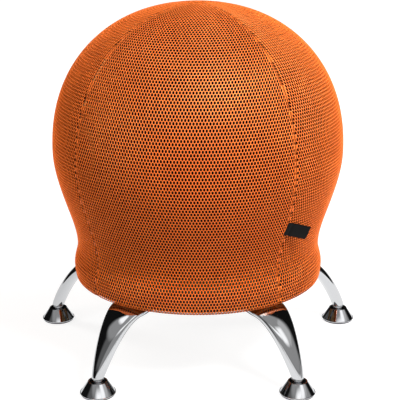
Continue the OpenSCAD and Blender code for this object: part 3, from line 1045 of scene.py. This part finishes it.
    def hem(self) -> bpy.types.Object:
        """The hem tape under the board, gathered by the elastic into uneven puckers and turned back over it."""
        chance = np.random.default_rng(self.hem_seed)
        steps = self.puckers * self.pucker_steps
        turns = np.arange(steps) / steps * math.tau
        # Slow waves, two to eight to the turn, shift the puckers sideways, and a wave of five swells them.
        wander = sum(chance.uniform(0.2, 0.6) * np.sin(n * turns + chance.uniform(0, math.tau)) for n in range(2, 9))
        wave = np.cos(self.puckers * turns + self.pucker_wander * wander) * (1 + 0.25 * np.sin(5 * turns + 1))
        rows = []
        for start_r, rings in ((self.shape.points[-1][0], self.hem_outer), (self.hem_inner_r, self.hem_inner)):
            for out, lift, share in rings:
                held = start_r + out + self.pucker_out * share * wave
                height = self.shape.low_z + lift + self.pucker_up * share * wave
                rows.append(np.stack([held * np.cos(turns), held * np.sin(turns), height], axis=1))
        # The tape's darker orange is painted shade under the board.
        return cloth("cover_hem", np.concatenate(rows), strip(len(rows), steps, closed=True), [HEM_TAPE_SHADED.make()])

    def hem_stitches(self) -> bpy.types.Object:
        """Two rows of stitches that hold the hem tape to the gores."""
        chance = np.random.default_rng(self.hem_stitch_seed)
        height = self.shape.low_z + self.hem_stitch_lift
        downwards = Matrix.Rotation(math.pi, 4, "X")
        places = []
        for out in self.hem_stitch_rows:
            radius = self.shape.points[-1][0] + out
            count = int(math.tau * radius / self.hem_stitch_pitch)
            for i in range(count):
                turn = math.tau * i / count
                spot = Matrix.Translation((radius * math.cos(turn), radius * math.sin(turn), height))
                tilt = turn + math.pi / 2 + chance.normal(*self.hem_stitch_lean)
                places.append(spot @ Matrix.Rotation(tilt, 4, "Z") @ downwards)
        return self.hem_stitch.row("hem_stitches", places, np.ones((len(places), 3)), THREAD)

    def build(self) -> None:
        """Makes the whole cover."""
        along = self.shape.along
        length, widths = float(along[-1]), 2 * self.half_width(along)
        hem = settle(self.hem(), Body.ROOT.value, Slot.MESH, "mesh_cover")
        hem_stitches = settle(self.hem_stitches(), Body.ROOT.value, Slot.MESH)
        for number in range(1, self.gores + 1):
            gore = settle(self.gore(number), Body.ROOT.value, Slot.MESH, "mesh_cover")
            tape = settle(self.seam_tape(number - 1), Body.ROOT.value, Slot.MESH)
            sewn = settle(self.seam_stitches(number - 1), Body.ROOT.value, Slot.MESH)


@dataclass
class SeatBall:
    """The inflated ball: a thick PVC skin with a moulding line, a flat resting patch and a valve hole."""

    cover: CoverShape
    inset: float = 3.3 * MM
    rest_r: float = 90 * MM
    rest_z: float = 144.5 * MM
    valve_r: float = 4.62 * MM
    valve_depth: float = 12.4 * MM
    valve_edge: float = 0.6 * MM
    mould_line: float = 0.25 * MM
    mould_line_half: float = 1 * MM
    steps: int = 24
    turn_steps: int = 144

    def bottom(self) -> list[Pair]:
        """The free lower part, from the shoulder to the flat patch."""
        shoulder_r, shoulder_z = self.cover.shoulder
        depth = (shoulder_z - self.rest_z) / 2
        leaned = shoulder_r - depth * self.cover.shoulder_lean
        start = (shoulder_r - self.inset, shoulder_z)
        second = (min(leaned, self.cover.waist[0]) - self.inset, shoulder_z - depth)
        third = ((shoulder_r + self.rest_r) / 2, self.rest_z)
        last = (self.rest_r, self.rest_z)
        return [curve_at(i / self.steps, start, second, third, last)[0] for i in range(self.steps + 1)]

    def build(self) -> None:
        flank = [(r - self.inset, z) for r, z in self.cover.flank()]
        line_r, line_z = flank[0][0] + self.mould_line, flank[0][1]
        line = [(line_r, line_z + self.mould_line_half), (line_r, line_z - self.mould_line_half)]
        hole = [(self.valve_r + self.valve_edge, self.rest_z), (self.valve_r, self.rest_z + self.valve_edge)]
        hole += [(self.valve_r, self.rest_z + self.valve_depth), (0.0, self.rest_z + self.valve_depth)]
        outline = self.cover.crown(self.inset) + line + flank[1:] + self.bottom() + hole
        ball = turned("seat_ball", outline, self.turn_steps)
        smooth(ball, 40)
        ball.data.materials.append(BALL_SKIN.make())
        settle(ball, Body.ROOT.value, Slot.BALL, "ball_bladder")


@dataclass
class LabelTab:
    """A loop of satin ribbon sewn into a seam, creased where it leaves the seam, and left bare."""

    seam_turn: float = SEAM_TURN
    place_r: float = 217.5 * MM
    place_z: float = 254.5 * MM
    lean: float = math.radians(18)
    stand_off: float = math.radians(20)
    droop: float = math.radians(11)
    length: float = 37 * MM
    height: float = 23 * MM
    sewn: float = 1.6 * MM
    # The crease lies at this share of the length, this deep and this wide, and the tab curls up beyond it.
    crease_at: float = 0.17
    crease_dip: float = 0.9 * MM
    crease_wide: float = 2.2 * MM
    curl: float = 1.6 * MM
    # The gap between the two layers grows from this share at the seam to the fold's own radius.
    pinch: float = 0.55
    fold_r: float = 0.45 * MM
    fold_from: float = 0.4
    fold_steps: int = 5
    cup: float = 0.5 * MM
    cup_waves: float = 1.6
    twist: float = 0.4 * MM
    ribbon: float = 0.28 * MM
    along: int = 28
    across: int = 15

    def outline(self) -> list[Pair]:
        """The ribbon's way, as (distance from the seam, distance off the tab's middle plane)."""
        reach = self.length - self.fold_r
        stops = np.concatenate([[-self.sewn, 0], np.linspace(0.03, 1, self.along) * reach])
        share = np.maximum(stops, 0) / reach
        crease = np.exp(-(((stops - self.crease_at * self.length) / self.crease_wide) ** 2))
        middle = self.curl * share**2 - self.crease_dip * crease
        gap = self.fold_r * (self.pinch + (1 - self.pinch) * share)
        turns = np.linspace(self.fold_from, math.pi - self.fold_from, self.fold_steps)
        fold_s, fold_off = reach + self.fold_r * np.sin(turns), middle[-1] + self.fold_r * np.cos(turns)
        distance = np.concatenate([stops, fold_s, stops[::-1]])
        off = np.concatenate([middle + gap, fold_off, (middle - gap)[::-1]])
        return list(zip(distance.tolist(), off.tolist()))

    def build(self) -> None:
        way = self.outline()
        points = []
        for s, off in way:
            share = max(s, 0) / self.length
            for j in range(self.across):
                h = j / (self.across - 1) - 0.5
                bowed = self.cup * math.cos(math.pi * self.cup_waves * h) - self.twist * h
                points.append((-s, off + share * bowed, h * self.height))
        place = (
            Matrix.Rotation(self.seam_turn, 4, "Z")
            @ Matrix.Translation((self.place_r, 0, self.place_z))
            @ Matrix.Rotation(self.lean, 4, "Y")
            @ Matrix.Rotation(-math.pi / 2 - self.stand_off, 4, "Z")
            @ Matrix.Rotation(-self.droop, 4, "Y")
        )
        tab = cloth("label_ribbon", moved(np.array(points), place), strip(len(way), self.across), [RIBBON.make()])
        apply_modifier(tab, "SOLIDIFY", thickness=self.ribbon, offset=0)
        settle(tab, Body.ROOT.value, Slot.LABEL, "label_tab")


class Section(NamedTuple):
    """One section of a leg's horn: its middle's x and z, its tilt in radians, its half thickness and half width."""

    x: float
    z: float
    tilt: float
    thick: float
    wide: float


@dataclass
class Legs:
    """Five cast legs: a curved horn that widens into a mounting pad, polished and chromed in one piece."""

    count: int = 5
    foot: Pair = (262 * MM, 27 * MM)
    foot_reach: float = 24 * MM
    lean: float = math.radians(16.5)
    bend: Pair = (221 * MM, 117.5 * MM)
    root: Pair = (182 * MM, 116.6 * MM)
    tail_end: Pair = (106 * MM, 123.5 * MM)
    foot_thick: float = 10.1 * MM
    root_thick: float = 8.9 * MM
    middle_thick: float = 9.5 * MM
    tail_thick: float = 4 * MM
    foot_wide: float = 9 * MM
    root_wide: float = 32.5 * MM
    tail_wide: float = 22 * MM
    flare_power: float = 1.17
    rings: int = 16
    tail_rings: int = 4
    sides: int = 32
    # The power of the section's lower corners, where 2 is a round, and the share of the horn where it is reached.
    fullness: float = 3.4
    full_from: float = 0.35
    foot_edge: float = 0.6 * MM
    pad_low: float = 117.5 * MM
    pad_thick: float = 12 * MM
    pad_out_r: float = 161 * MM
    pad_in_x: float = 84 * MM
    pad_in_wide: float = 22 * MM
    pad_out_wide: float = 33 * MM
    pad_edge: float = 0.8 * MM
    screws: tuple[Pair, ...] = ((88 * MM, 0), (143 * MM, -18 * MM), (143 * MM, 18 * MM))
    screw_hole_r: float = 3.3 * MM
    screw_hole_z: Pair = (100 * MM, 140 * MM)
    head_hole_r: float = 5.6 * MM
    head_hole_z: Pair = (90 * MM, 121.5 * MM)
    bore_r: float = 5.3 * MM
    bore_z: Pair = (25 * MM, 41.5 * MM)
    drill_sides: int = 48

    def turn(self, number: int) -> float:
        """Turn of a leg about Z from the +X axis, in radians. Leg 1 stands front left."""
        return (number - 1.5) * math.tau / self.count - math.pi / 2

    def sections(self) -> list[Section]:
        """Each section of the horn, from just below its foot to the end of its tail in the pad."""
        x, z = self.foot
        lifted = (x - self.foot_reach * math.sin(self.lean), z + self.foot_reach * math.cos(self.lean))
        tail_bend = ((self.root[0] + self.tail_end[0]) / 2, self.root[1])
        made = []
        for i in range(-1, self.rings + 1):
            t = i / self.rings
            spot, way = curve_at(t, self.foot, lifted, self.bend, self.root)
            wide = self.foot_wide + (self.root_wide - self.foot_wide) * max(t, 0) ** self.flare_power
            slim = 4 * t * (1 - t) * (self.middle_thick - (self.foot_thick + self.root_thick) / 2)
            thick = self.foot_thick + (self.root_thick - self.foot_thick) * t + slim
            made.append(Section(*spot, math.atan2(*way), thick, wide))
        for i in range(1, self.tail_rings + 1):
            t = i / self.tail_rings
            spot, way = curve_at(t, self.root, tail_bend, tail_bend, self.tail_end)
            thick = self.root_thick + (self.tail_thick - self.root_thick) * t
            wide = self.root_wide + (self.tail_wide - self.root_wide) * t
            made.append(Section(*spot, math.atan2(*way), thick, wide))
        return made

    def horn(self) -> bpy.types.Object:
        """Extrudes the horn from a round, section by section, squares its sides and cuts its foot level."""
        deselect()
        bpy.ops.mesh.primitive_circle_add(vertices=self.sides, radius=1, fill_type="NGON")
        horn = bpy.context.object
        horn.name = "leg_casting"
        bpy.ops.object.mode_set(mode="EDIT")
        sections = self.sections()
        last = sections[0]
        bpy.ops.transform.resize(value=(last.thick, last.wide, 1), center_override=(0, 0, 0))
        tip(last.tilt, (0, 0, 0))
        bpy.ops.transform.translate(value=(last.x, 0, last.z))
        for new in sections[1:]:
            middle = (new.x, 0, new.z)
            bpy.ops.mesh.extrude_region_move(TRANSFORM_OT_translate={"value": (new.x - last.x, 0, new.z - last.z)})
            # The section is laid level, given its new size and tilted again.
            tip(-last.tilt, middle)
            growth = (new.thick / last.thick, new.wide / last.wide, 1)
            bpy.ops.transform.resize(value=growth, center_override=middle)
            tip(new.tilt, middle)
            last = new
        bpy.ops.object.mode_set(mode="OBJECT")
        self.square_off(horn, sections)
        apply_modifier(horn, "SUBSURF", levels=2, render_levels=2)
        bpy.ops.object.mode_set(mode="EDIT")
        bpy.ops.mesh.select_all(action="SELECT")
        bpy.ops.mesh.bisect(plane_co=(0, 0, self.foot[1]), plane_no=(0, 0, -1), use_fill=True, clear_outer=True)
        bpy.ops.mesh.bevel(offset=self.foot_edge, segments=3, affect="EDGES")
        bpy.ops.mesh.select_all(action="SELECT")
        bpy.ops.mesh.normals_make_consistent(inside=False)
        bpy.ops.object.mode_set(mode="OBJECT")
        return horn

    def square_off(self, horn: bpy.types.Object, sections: list[Section]) -> None:
        """Fills out the lower corners of each section, from a round at the foot to upright sides higher up.

        The points are moved in code, because no operator gives each section a squareness of its own.

        Args:
            horn: the horn's plain sections, one ring of points after the other.
            sections: where they lie.
        """
        rings = [horn.data.vertices[i : i + self.sides] for i in range(0, len(sections) * self.sides, self.sides)]
        for i, (ring, section) in enumerate(zip(rings, sections)):
            middle, level = Vector((section.x, 0, section.z)), Matrix.Rotation(-section.tilt, 3, "Y")
            power = 2 + (self.fullness - 2) * min(1, max(0, (i - 1) / self.rings) / self.full_from)
            for point in ring:
                reach = point.co - middle
                across = level @ reach
                if across.x < 0:
                    off = abs(across.x / section.thick) ** power + abs(across.y / section.wide) ** power
                    point.co = middle + off ** (-1 / power) * reach

    def pad(self) -> bpy.types.Object:
        """The mounting pad that bolts under the board, with its rims rounded."""
        out_turn = math.degrees(math.asin(self.pad_out_wide / self.pad_out_r))
        outline = arc((self.pad_in_x, 0), self.pad_in_wide, 90, 270, 32)
        outline += arc((0, 0), self.pad_out_r, -out_turn, out_turn, 16)
        pad = drawn("leg_pad", [(x, y, self.pad_low) for x, y in outline], closed=True)
        pick(pad)
        bpy.ops.object.mode_set(mode="EDIT")
        bpy.ops.mesh.select_all(action="SELECT")
        bpy.ops.mesh.edge_face_add()
        bpy.ops.mesh.extrude_region_move(TRANSFORM_OT_translate={"value": (0, 0, self.pad_thick)})
        bpy.ops.mesh.select_all(action="SELECT")
        bpy.ops.mesh.normals_make_consistent(inside=False)
        bpy.ops.object.mode_set(mode="OBJECT")
        sharp = math.radians(50)
        apply_modifier(pad, "BEVEL", width=self.pad_edge, segments=3, limit_method="ANGLE", angle_limit=sharp)
        return pad

    def drill(self, leg: bpy.types.Object, x: float, y: float, radius: float, heights: Pair) -> None:
        """Drills one upright hole.

        Args:
            leg: the leg that it goes into.
            x: the hole's place along the leg.
            y: its place across the leg.
            radius: its radius.
            heights: its lower and upper end.
        """
        low, high = heights
        deselect()
        middle = (x, y, (low + high) / 2)
        bpy.ops.mesh.primitive_cylinder_add(
            vertices=self.drill_sides, radius=radius, depth=high - low, location=middle
        )
        join(leg, bpy.context.object, "DIFFERENCE")

    def casting(self) -> bpy.types.Object:
        """One whole leg, standing along the X axis: the horn and the pad joined, and its holes drilled."""
        horn, pad = self.horn(), self.pad()
        join(horn, pad, "UNION")
        self.drill(horn, self.foot[0], 0, self.bore_r, self.bore_z)
        for x, y in self.screws:
            self.drill(horn, x, y, self.screw_hole_r, self.screw_hole_z)
            self.drill(horn, x, y, self.head_hole_r, self.head_hole_z)
        smooth(horn, 32)
        horn.data.materials.append(CAST_CHROME.make())
        return horn

    def build(self) -> None:
        """Copies the casting round the board."""
        first = self.casting()
        for number in range(1, self.count + 1):
            leg = copied(first, f"leg_casting_{number}", Matrix.Rotation(self.turn(number), 4, "Z"))
            settle(leg, Body.ROOT.value, Slot.CASTING, f"leg_{number}")
        bpy.data.objects.remove(first)


@dataclass
class Glides:
    """Five chromed glide cones, turned with small rounded rims and a recess for the swivel ball."""

    legs: Legs
    low_z: float = 2.7 * MM
    wide_r: float = 27.9 * MM
    flange_z: float = 3.9 * MM
    top_z: float = 22 * MM
    top_r: float = 15.4 * MM
    recess_r: float = 12.7 * MM
    recess_depth: float = 3.4 * MM
    inner_r: float = 24.9 * MM
    rim: float = 0.6 * MM
    foot_edge: float = 0.4 * MM
    flange_drop: float = 0.3 * MM
    # A small hollow where the flange meets the cone catches a thin dark line.
    hollow_in: float = 1 * MM
    hollow_up: float = 0.35 * MM
    # The recess opens into a wider bore below its floor.
    bore_out: float = 0.9 * MM
    bore_down: float = 1.1 * MM
    steps: int = 128

    def outline(self) -> list[Pair]:
        """The cone's section, from inside its foot round its outer side to its bore."""
        edge = (self.wide_r - self.foot_edge, self.low_z + self.foot_edge)
        foot = [(self.inner_r, self.low_z)] + arc(edge, self.foot_edge, -90, 0, 3)
        flange = arc((self.wide_r - self.rim, self.flange_z - self.flange_drop), self.rim, 0, 62, 4)
        hollow = [(self.wide_r - self.hollow_in, self.flange_z + self.hollow_up)]
        crest = arc((self.top_r - self.rim, self.top_z - self.rim), self.rim, 35, 90, 4)
        lip = arc((self.recess_r + self.rim, self.top_z - self.rim), self.rim, 90, 180, 4)
        floor, bore_r = self.top_z - self.recess_depth, self.recess_r + self.bore_out
        bore = [(self.recess_r, floor), (bore_r, floor), (bore_r, floor - self.bore_down)]
        return foot + flange + hollow + crest + lip + bore

    def build(self) -> None:
        """Turns one cone and copies it to each foot."""
        cone = turned("glide", self.outline(), self.steps, closed=True)
        smooth(cone, 30)
        cone.data.materials.append(TURNED_CHROME.make())
        for number in range(1, self.legs.count + 1):
            place = Matrix.Rotation(self.legs.turn(number), 4, "Z") @ Matrix.Translation((self.legs.foot[0], 0, 0))
            glide = copied(cone, f"glide_cone_turned_{number}", place)
            settle(glide, Body.GLIDE.value.format(number), Slot.CHROME, f"glide_cone_{number}")
        bpy.data.objects.remove(cone)


class Softbox(NamedTuple):
    """An oblong lamp: its place and what it points at, its width and height in metres, and its power in watts."""

    place: Triple
    aim: Triple
    width: float
    height: float
    power: float


class Lamp(Enum):
    """The studio's lamps. All but SHINE give soft light, and SHINE gives the gores their gloss and nothing else."""

    KEY = Softbox((0.84, -0.93, 1.66), (0.0, 0.0, 0.3), 0.6, 0.6, 30.5)
    SHINE = Softbox((0.47, -1.17, 1.66), (0.0, 0.0, 0.3), 0.7, 0.7, 270.0)
    RIGHT = Softbox((2.2, 0.1, 0.9), (0.0, 0.0, 0.3), 0.6, 1.6, 32.0)
    LEFT_BACK = Softbox((-1.7, 1.1, 1.8), (0.0, 0.0, 0.4), 0.5, 1.2, 16.0)
    LEFT_LOW = Softbox((-1.7, -0.9, 0.45), (0.0, 0.0, 0.24), 0.7, 0.7, 12.0)

    @property
    def piece(self) -> str:
        """The name of the lamp's object."""
        return self.name.lower() + "_softbox"


class Patch(NamedTuple):
    """A bright oblong in a mirror: its edges and the width of its soft sides in degrees, and how bright it is.

    Left and right are counted from the front, and low and high from the horizon.
    """

    left: float
    right: float
    low: float
    high: float
    level: float
    soft: float


class Panel(Enum):
    """The soft panels that the chrome mirrors."""

    DOME_LEFT = Patch(-93.0, -22.0, 37.0, 100.0, 0.3, 8.0)
    DOME_LOW_LEFT = Patch(-74.0, -26.0, 14.0, 42.0, 0.11, 10.0)
    DOME_FRONT = Patch(-30.0, 96.0, 10.0, 100.0, 0.3, 9.0)
    HIGH_LEFT = Patch(-88.0, -30.0, 59.0, 80.0, 1.2, 12.0)
    RIGHT = Patch(23.0, 65.0, 33.0, 54.0, 1.2, 14.0)
    FAR_RIGHT = Patch(60.0, 95.0, 28.0, 60.0, 0.5, 9.0)
    FRONT = Patch(-15.0, 42.0, 36.0, 46.0, 1.25, 20.0)
    HORIZON = Patch(-32.0, 58.0, -8.0, 9.0, 0.9, 8.0)
    HORIZON_RIGHT = Patch(50.0, 102.0, -8.0, 11.0, 0.36, 6.0)


@dataclass
class Studio:
    """The white floor, the dark room with its soft panels that the chrome mirrors, the lamps and the camera."""

    floor_half: float = 12.0
    camera_place: Triple = (0.0035, -1.828, 0.820)
    camera_pitch: float = math.radians(17.4)
    lens: float = 104.0
    sensor: float = 36.0
    # How bright the room is in mirrors, away from the panels.
    dark: float = 0.006
    panel_edge: float = math.radians(5)
    # The even fill, from the room's left to its right, and how it changes from the horizon to the ceiling.
    fill_sides: Pair = (0.38, 0.48)
    fill_heights: Pair = (1.25, 0.55)
    # The fill's warm side, between two places across the room, where -1 is its left and 1 its right.
    warm: str = "#FFEAD4"
    warm_ends: Pair = (-1.0, 0.6)
    # What the camera sees of the floor: its glow grows to white between two distances, and how much shadow it shows.
    floor_glow: Pair = (0.8, 1.0)
    glow_fades: Pair = (0.6, 1.5)
    shadow_share: float = 0.34
    # What mirrors see of it: a lit table, its soft edge as a share of its size, and its levels from left to right.
    table_middle: Triple = (0.0, -1.6, 0.0)
    table_half: Triple = (1.5, 2.6, 1.0)
    table_fades: Pair = (0.9, 1.1)
    table_glow: Pair = (0.7, 0.92)
    table_sides: Pair = (-0.35, 0.0)
    # The table darkens to this level under the stool, between two distances from its middle: a painted shadow that only
    # mirrors see.
    under_level: float = 0.1
    under_stool: Pair = (0.1, 0.15)
    # The light that the floor throws back at the stool, less of it between two distances.
    bounce: Pair = (0.04, 0.58)
    dim_bounce: Pair = (0.2, 0.42)
    # How much of the table's level is left in a mirror that is seen in another.
    second_mirror: float = 0.12

    def floor(self) -> None:
        """Lays the floor: white with a faint shadow to the camera, a white table that ends in the dark in mirrors, with
        a painted shadow under the stool.
        """
        soft, times = {"interpolation_type": "SMOOTHSTEP"}, {"operation": "MULTIPLY"}
        deselect()
        bpy.ops.mesh.primitive_plane_add(size=2 * self.floor_half)
        floor = bpy.context.object
        floor.name = "studio_floor"
        material = bpy.data.materials.new("white_studio_floor")
        material.use_nodes = True
        tree = material.node_tree
        tree.nodes.clear()
        path = add(tree, "LightPath")
        camera, glossy = path.outputs["Is Camera Ray"], path.outputs["Is Glossy Ray"]
        place = add(tree, "TexCoord")
        away = add(tree, "VectorMath", {"operation": "LENGTH"}, {0: place.outputs["Object"]})
        glow = add(tree, "MapRange", span(*self.glow_fades, *self.floor_glow), {"Value": away.outputs["Value"]})
        top = {"vector_type": "TEXTURE", "Location": self.table_middle, "Scale": self.table_half}
        table = add(tree, "Mapping", top, {"Vector": place.outputs["Object"]})
        reach = add(tree, "VectorMath", {"operation": "LENGTH"}, {0: table.outputs[0]})
        edge = span(*self.table_fades, 1.0, self.dark)
        level = add(tree, "MapRange", soft | edge, {"Value": reach.outputs["Value"]})
        # The painted shadow under the stool, seen only in mirrors.
        shade = span(*self.under_stool, self.under_level, 1.0)
        under = add(tree, "MapRange", soft | shade, {"Value": away.outputs["Value"]})
        axes = add(tree, "SeparateXYZ", {}, {0: place.outputs["Object"]})
        side = add(tree, "MapRange", span(*self.table_sides, *self.table_glow), {"Value": axes.outputs["X"]})
        level = add(tree, "Math", times, {0: level.outputs[0], 1: under.outputs[0]})
        level = add(tree, "Math", times, {0: level.outputs[0], 1: side.outputs[0]})
        bounce = add(tree, "MapRange", span(*self.dim_bounce, *self.bounce), {"Value": away.outputs["Value"]})
        tone = add(tree, "Mix", {Mix.HIGH: 0.0}, {Mix.SHARE: glossy, Mix.LOW: bounce.outputs[0]})
        tone = add(tree, "Mix", {Mix.HIGH: self.shadow_share}, {Mix.SHARE: camera, Mix.LOW: tone.outputs[0]})
        matt = add(tree, "BsdfDiffuse", {}, {"Color": tone.outputs[0]})
        # A mirror seen in another mirror is under the stool, where little of the floor's glow comes. The depth is 1 in
        # the first mirror and 2 in the next.
        first = add(tree, "Math", {"operation": "LESS_THAN", 1: 1.5}, {0: path.outputs["Glossy Depth"]})
        share = add(tree, "MapRange", span(0.0, 1.0, self.second_mirror, 1.0), {"Value": first.outputs[0]})
        level = add(tree, "Math", times, {0: level.outputs[0], 1: share.outputs[0]})
        strength = add(tree, "Mix", {Mix.LOW: 0.0}, {Mix.SHARE: glossy, Mix.HIGH: level.outputs[0]})
        shown = {Mix.SHARE: camera, Mix.LOW: strength.outputs[0], Mix.HIGH: glow.outputs[0]}
        strength = add(tree, "Mix", {}, shown)
        light = add(tree, "Emission", {"Color": (1, 1, 1, 1)}, {"Strength": strength.outputs[0]})
        both = add(tree, "AddShader", {}, {0: matt.outputs[0], 1: light.outputs[0]})
        add(tree, "OutputMaterial", {}, {"Surface": both.outputs[0]})
        floor.data.materials.append(material)

    def room(self) -> None:
        """Lights the room: white to the camera, dark with soft panels in mirrors, an even fill for the rest."""
        soft, times, most = {"interpolation_type": "SMOOTHSTEP"}, {"operation": "MULTIPLY"}, {"operation": "MAXIMUM"}
        world = bpy.data.worlds.new("studio_room")
        bpy.context.scene.world = world
        world.use_nodes = True
        tree = world.node_tree
        way = add(tree, "TexCoord")
        axes = add(tree, "SeparateXYZ", {}, {0: way.outputs["Generated"]})
        back = add(tree, "Math", {"operation": "MULTIPLY", 1: -1.0}, {0: axes.outputs["Y"]})
        azimuth = add(tree, "Math", {"operation": "ARCTAN2"}, {0: axes.outputs["X"], 1: back.outputs[0]})
        height = add(tree, "Math", {"operation": "ARCSINE"}, {0: axes.outputs["Z"]})
        mirror = add(tree, "Value")
        mirror.outputs[0].default_value = self.dark
        for panel in Panel:
            patch = panel.value
            across = (azimuth, patch.left, patch.right, math.radians(patch.soft))
            upright = (height, patch.low, patch.high, self.panel_edge)
            parts = []
            for angle, start, end, edge in (across, upright):
                middle, half = math.radians((start + end) / 2), math.radians((end - start) / 2)
                off = add(tree, "Math", {"operation": "SUBTRACT", 1: middle}, {0: angle.outputs[0]})
                size = add(tree, "Math", {"operation": "ABSOLUTE"}, {0: off.outputs[0]})
                fades = span(half - edge, half + edge, 1.0, 0.0)
                parts.append(add(tree, "MapRange", soft | fades, {"Value": size.outputs[0]}))
            both = add(tree, "Math", times, {0: parts[0].outputs[0], 1: parts[1].outputs[0]})
            lit = add(tree, "Math", times | {1: patch.level}, {0: both.outputs[0]})
            mirror = add(tree, "Math", most, {0: mirror.outputs[0], 1: lit.outputs[0]})
        side = add(tree, "MapRange", span(-1.0, 1.0, *self.fill_sides), {"Value": axes.outputs["X"]})
        tall = add(tree, "MapRange", span(0.0, 1.0, *self.fill_heights), {"Value": axes.outputs["Z"]})
        fill = add(tree, "Math", times, {0: side.outputs["Result"], 1: tall.outputs["Result"]})
        path = add(tree, "LightPath")
        seen = {Mix.SHARE: path.outputs["Is Glossy Ray"], Mix.LOW: fill.outputs[0], Mix.HIGH: mirror.outputs[0]}
        level = add(tree, "Mix", {}, seen)
        clear = add(tree, "Math", most, {0: path.outputs["Is Camera Ray"], 1: path.outputs["Is Transmission Ray"]})
        final = add(tree, "Mix", {Mix.HIGH: 1.0}, {Mix.SHARE: clear.outputs[0], Mix.LOW: level.outputs[0]})
        warm = add(tree, "MapRange", span(*self.warm_ends, 1.0, 0.0), {"Value": axes.outputs["X"]})
        matt_only = add(tree, "Math", times, {0: warm.outputs[0], 1: path.outputs["Is Diffuse Ray"]})
        tints = {"data_type": "RGBA", Mix.LOW_COLOUR: (1, 1, 1, 1), Mix.HIGH_COLOUR: linear(self.warm)}
        colour = add(tree, "Mix", tints, {Mix.SHARE: matt_only.outputs[0]})
        background = tree.nodes["Background"]
        tree.links.new(colour.outputs[MIXED_COLOUR], background.inputs["Color"])
        tree.links.new(final.outputs[0], background.inputs["Strength"])

    def lamps(self) -> None:
        """Hangs the lamps. Glossy surfaces see SHINE, and the room's panels in place of the others."""
        for lamp in Lamp:
            softbox = lamp.value
            light = bpy.data.lights.new(lamp.piece, "AREA")
            light.shape, light.energy = "RECTANGLE", softbox.power
            light.size, light.size_y = softbox.width, softbox.height
            box = bpy.data.objects.new(lamp.piece, light)
            bpy.context.scene.collection.objects.link(box)
            box.location = softbox.place
            way = Vector(softbox.aim) - Vector(softbox.place)
            box.rotation_euler = way.to_track_quat("-Z", "Y").to_euler()
            box.visible_glossy = lamp is Lamp.SHINE
            box.visible_diffuse = lamp is not Lamp.SHINE
            box.visible_camera = False

    def shine_on_knit(self) -> None:
        """Keeps SHINE for the gores, so that the chrome neither mirrors it nor throws its light."""
        knit = bpy.data.collections.new("knit")
        for piece in bpy.context.scene.objects:
            if piece.name.startswith("cover_gore"):
                knit.objects.link(piece)
        bpy.data.objects[Lamp.SHINE.piece].light_linking.receiver_collection = knit

    def camera(self) -> None:
        """Sets the camera at the photograph's viewing angle."""
        camera = bpy.data.objects.new("camera", bpy.data.cameras.new("camera"))
        camera.data.lens, camera.data.sensor_width = self.lens, self.sensor
        camera.location = self.camera_place
        camera.rotation_euler = (math.pi / 2 - self.camera_pitch, 0, 0)
        bpy.context.scene.collection.objects.link(camera)
        bpy.context.scene.camera = camera

    def build(self) -> None:
        """Sets up the studio."""
        bpy.context.scene.view_settings.view_transform = "Standard"
        self.camera()
        self.floor()
        self.room()
        self.lamps()


def dress_kept_nodes() -> None:
    """Gives every CAD node that stays in view its own finish."""
    for name, node in frame["nodes"].items():
        finish = KEPT_FINISHES.get(name) or KEPT_FINISHES.get(name.rsplit("_", 1)[0])
        if finish:
            for slot in node.material_slots:
                slot.link = "OBJECT"
                slot.material = finish.make()
            LOG.info("%s: kept, with %s", name, finish.name)


def main() -> None:
    """Builds the studio and the stool's pieces in order."""
    logging.basicConfig(level=logging.INFO, format="%(name)s: %(message)s")
    studio = Studio()
    studio.build()
    lowest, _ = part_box("mesh_cover")
    shape = CoverShape(low_z=lowest.z + CLEAR)
    SeatBall(shape).build()
    MeshCover(shape).build()
    studio.shine_on_knit()
    LabelTab().build()
    legs = Legs()
    legs.build()
    Glides(legs).build()
    dress_kept_nodes()


if __name__ == "__main__":
    main()
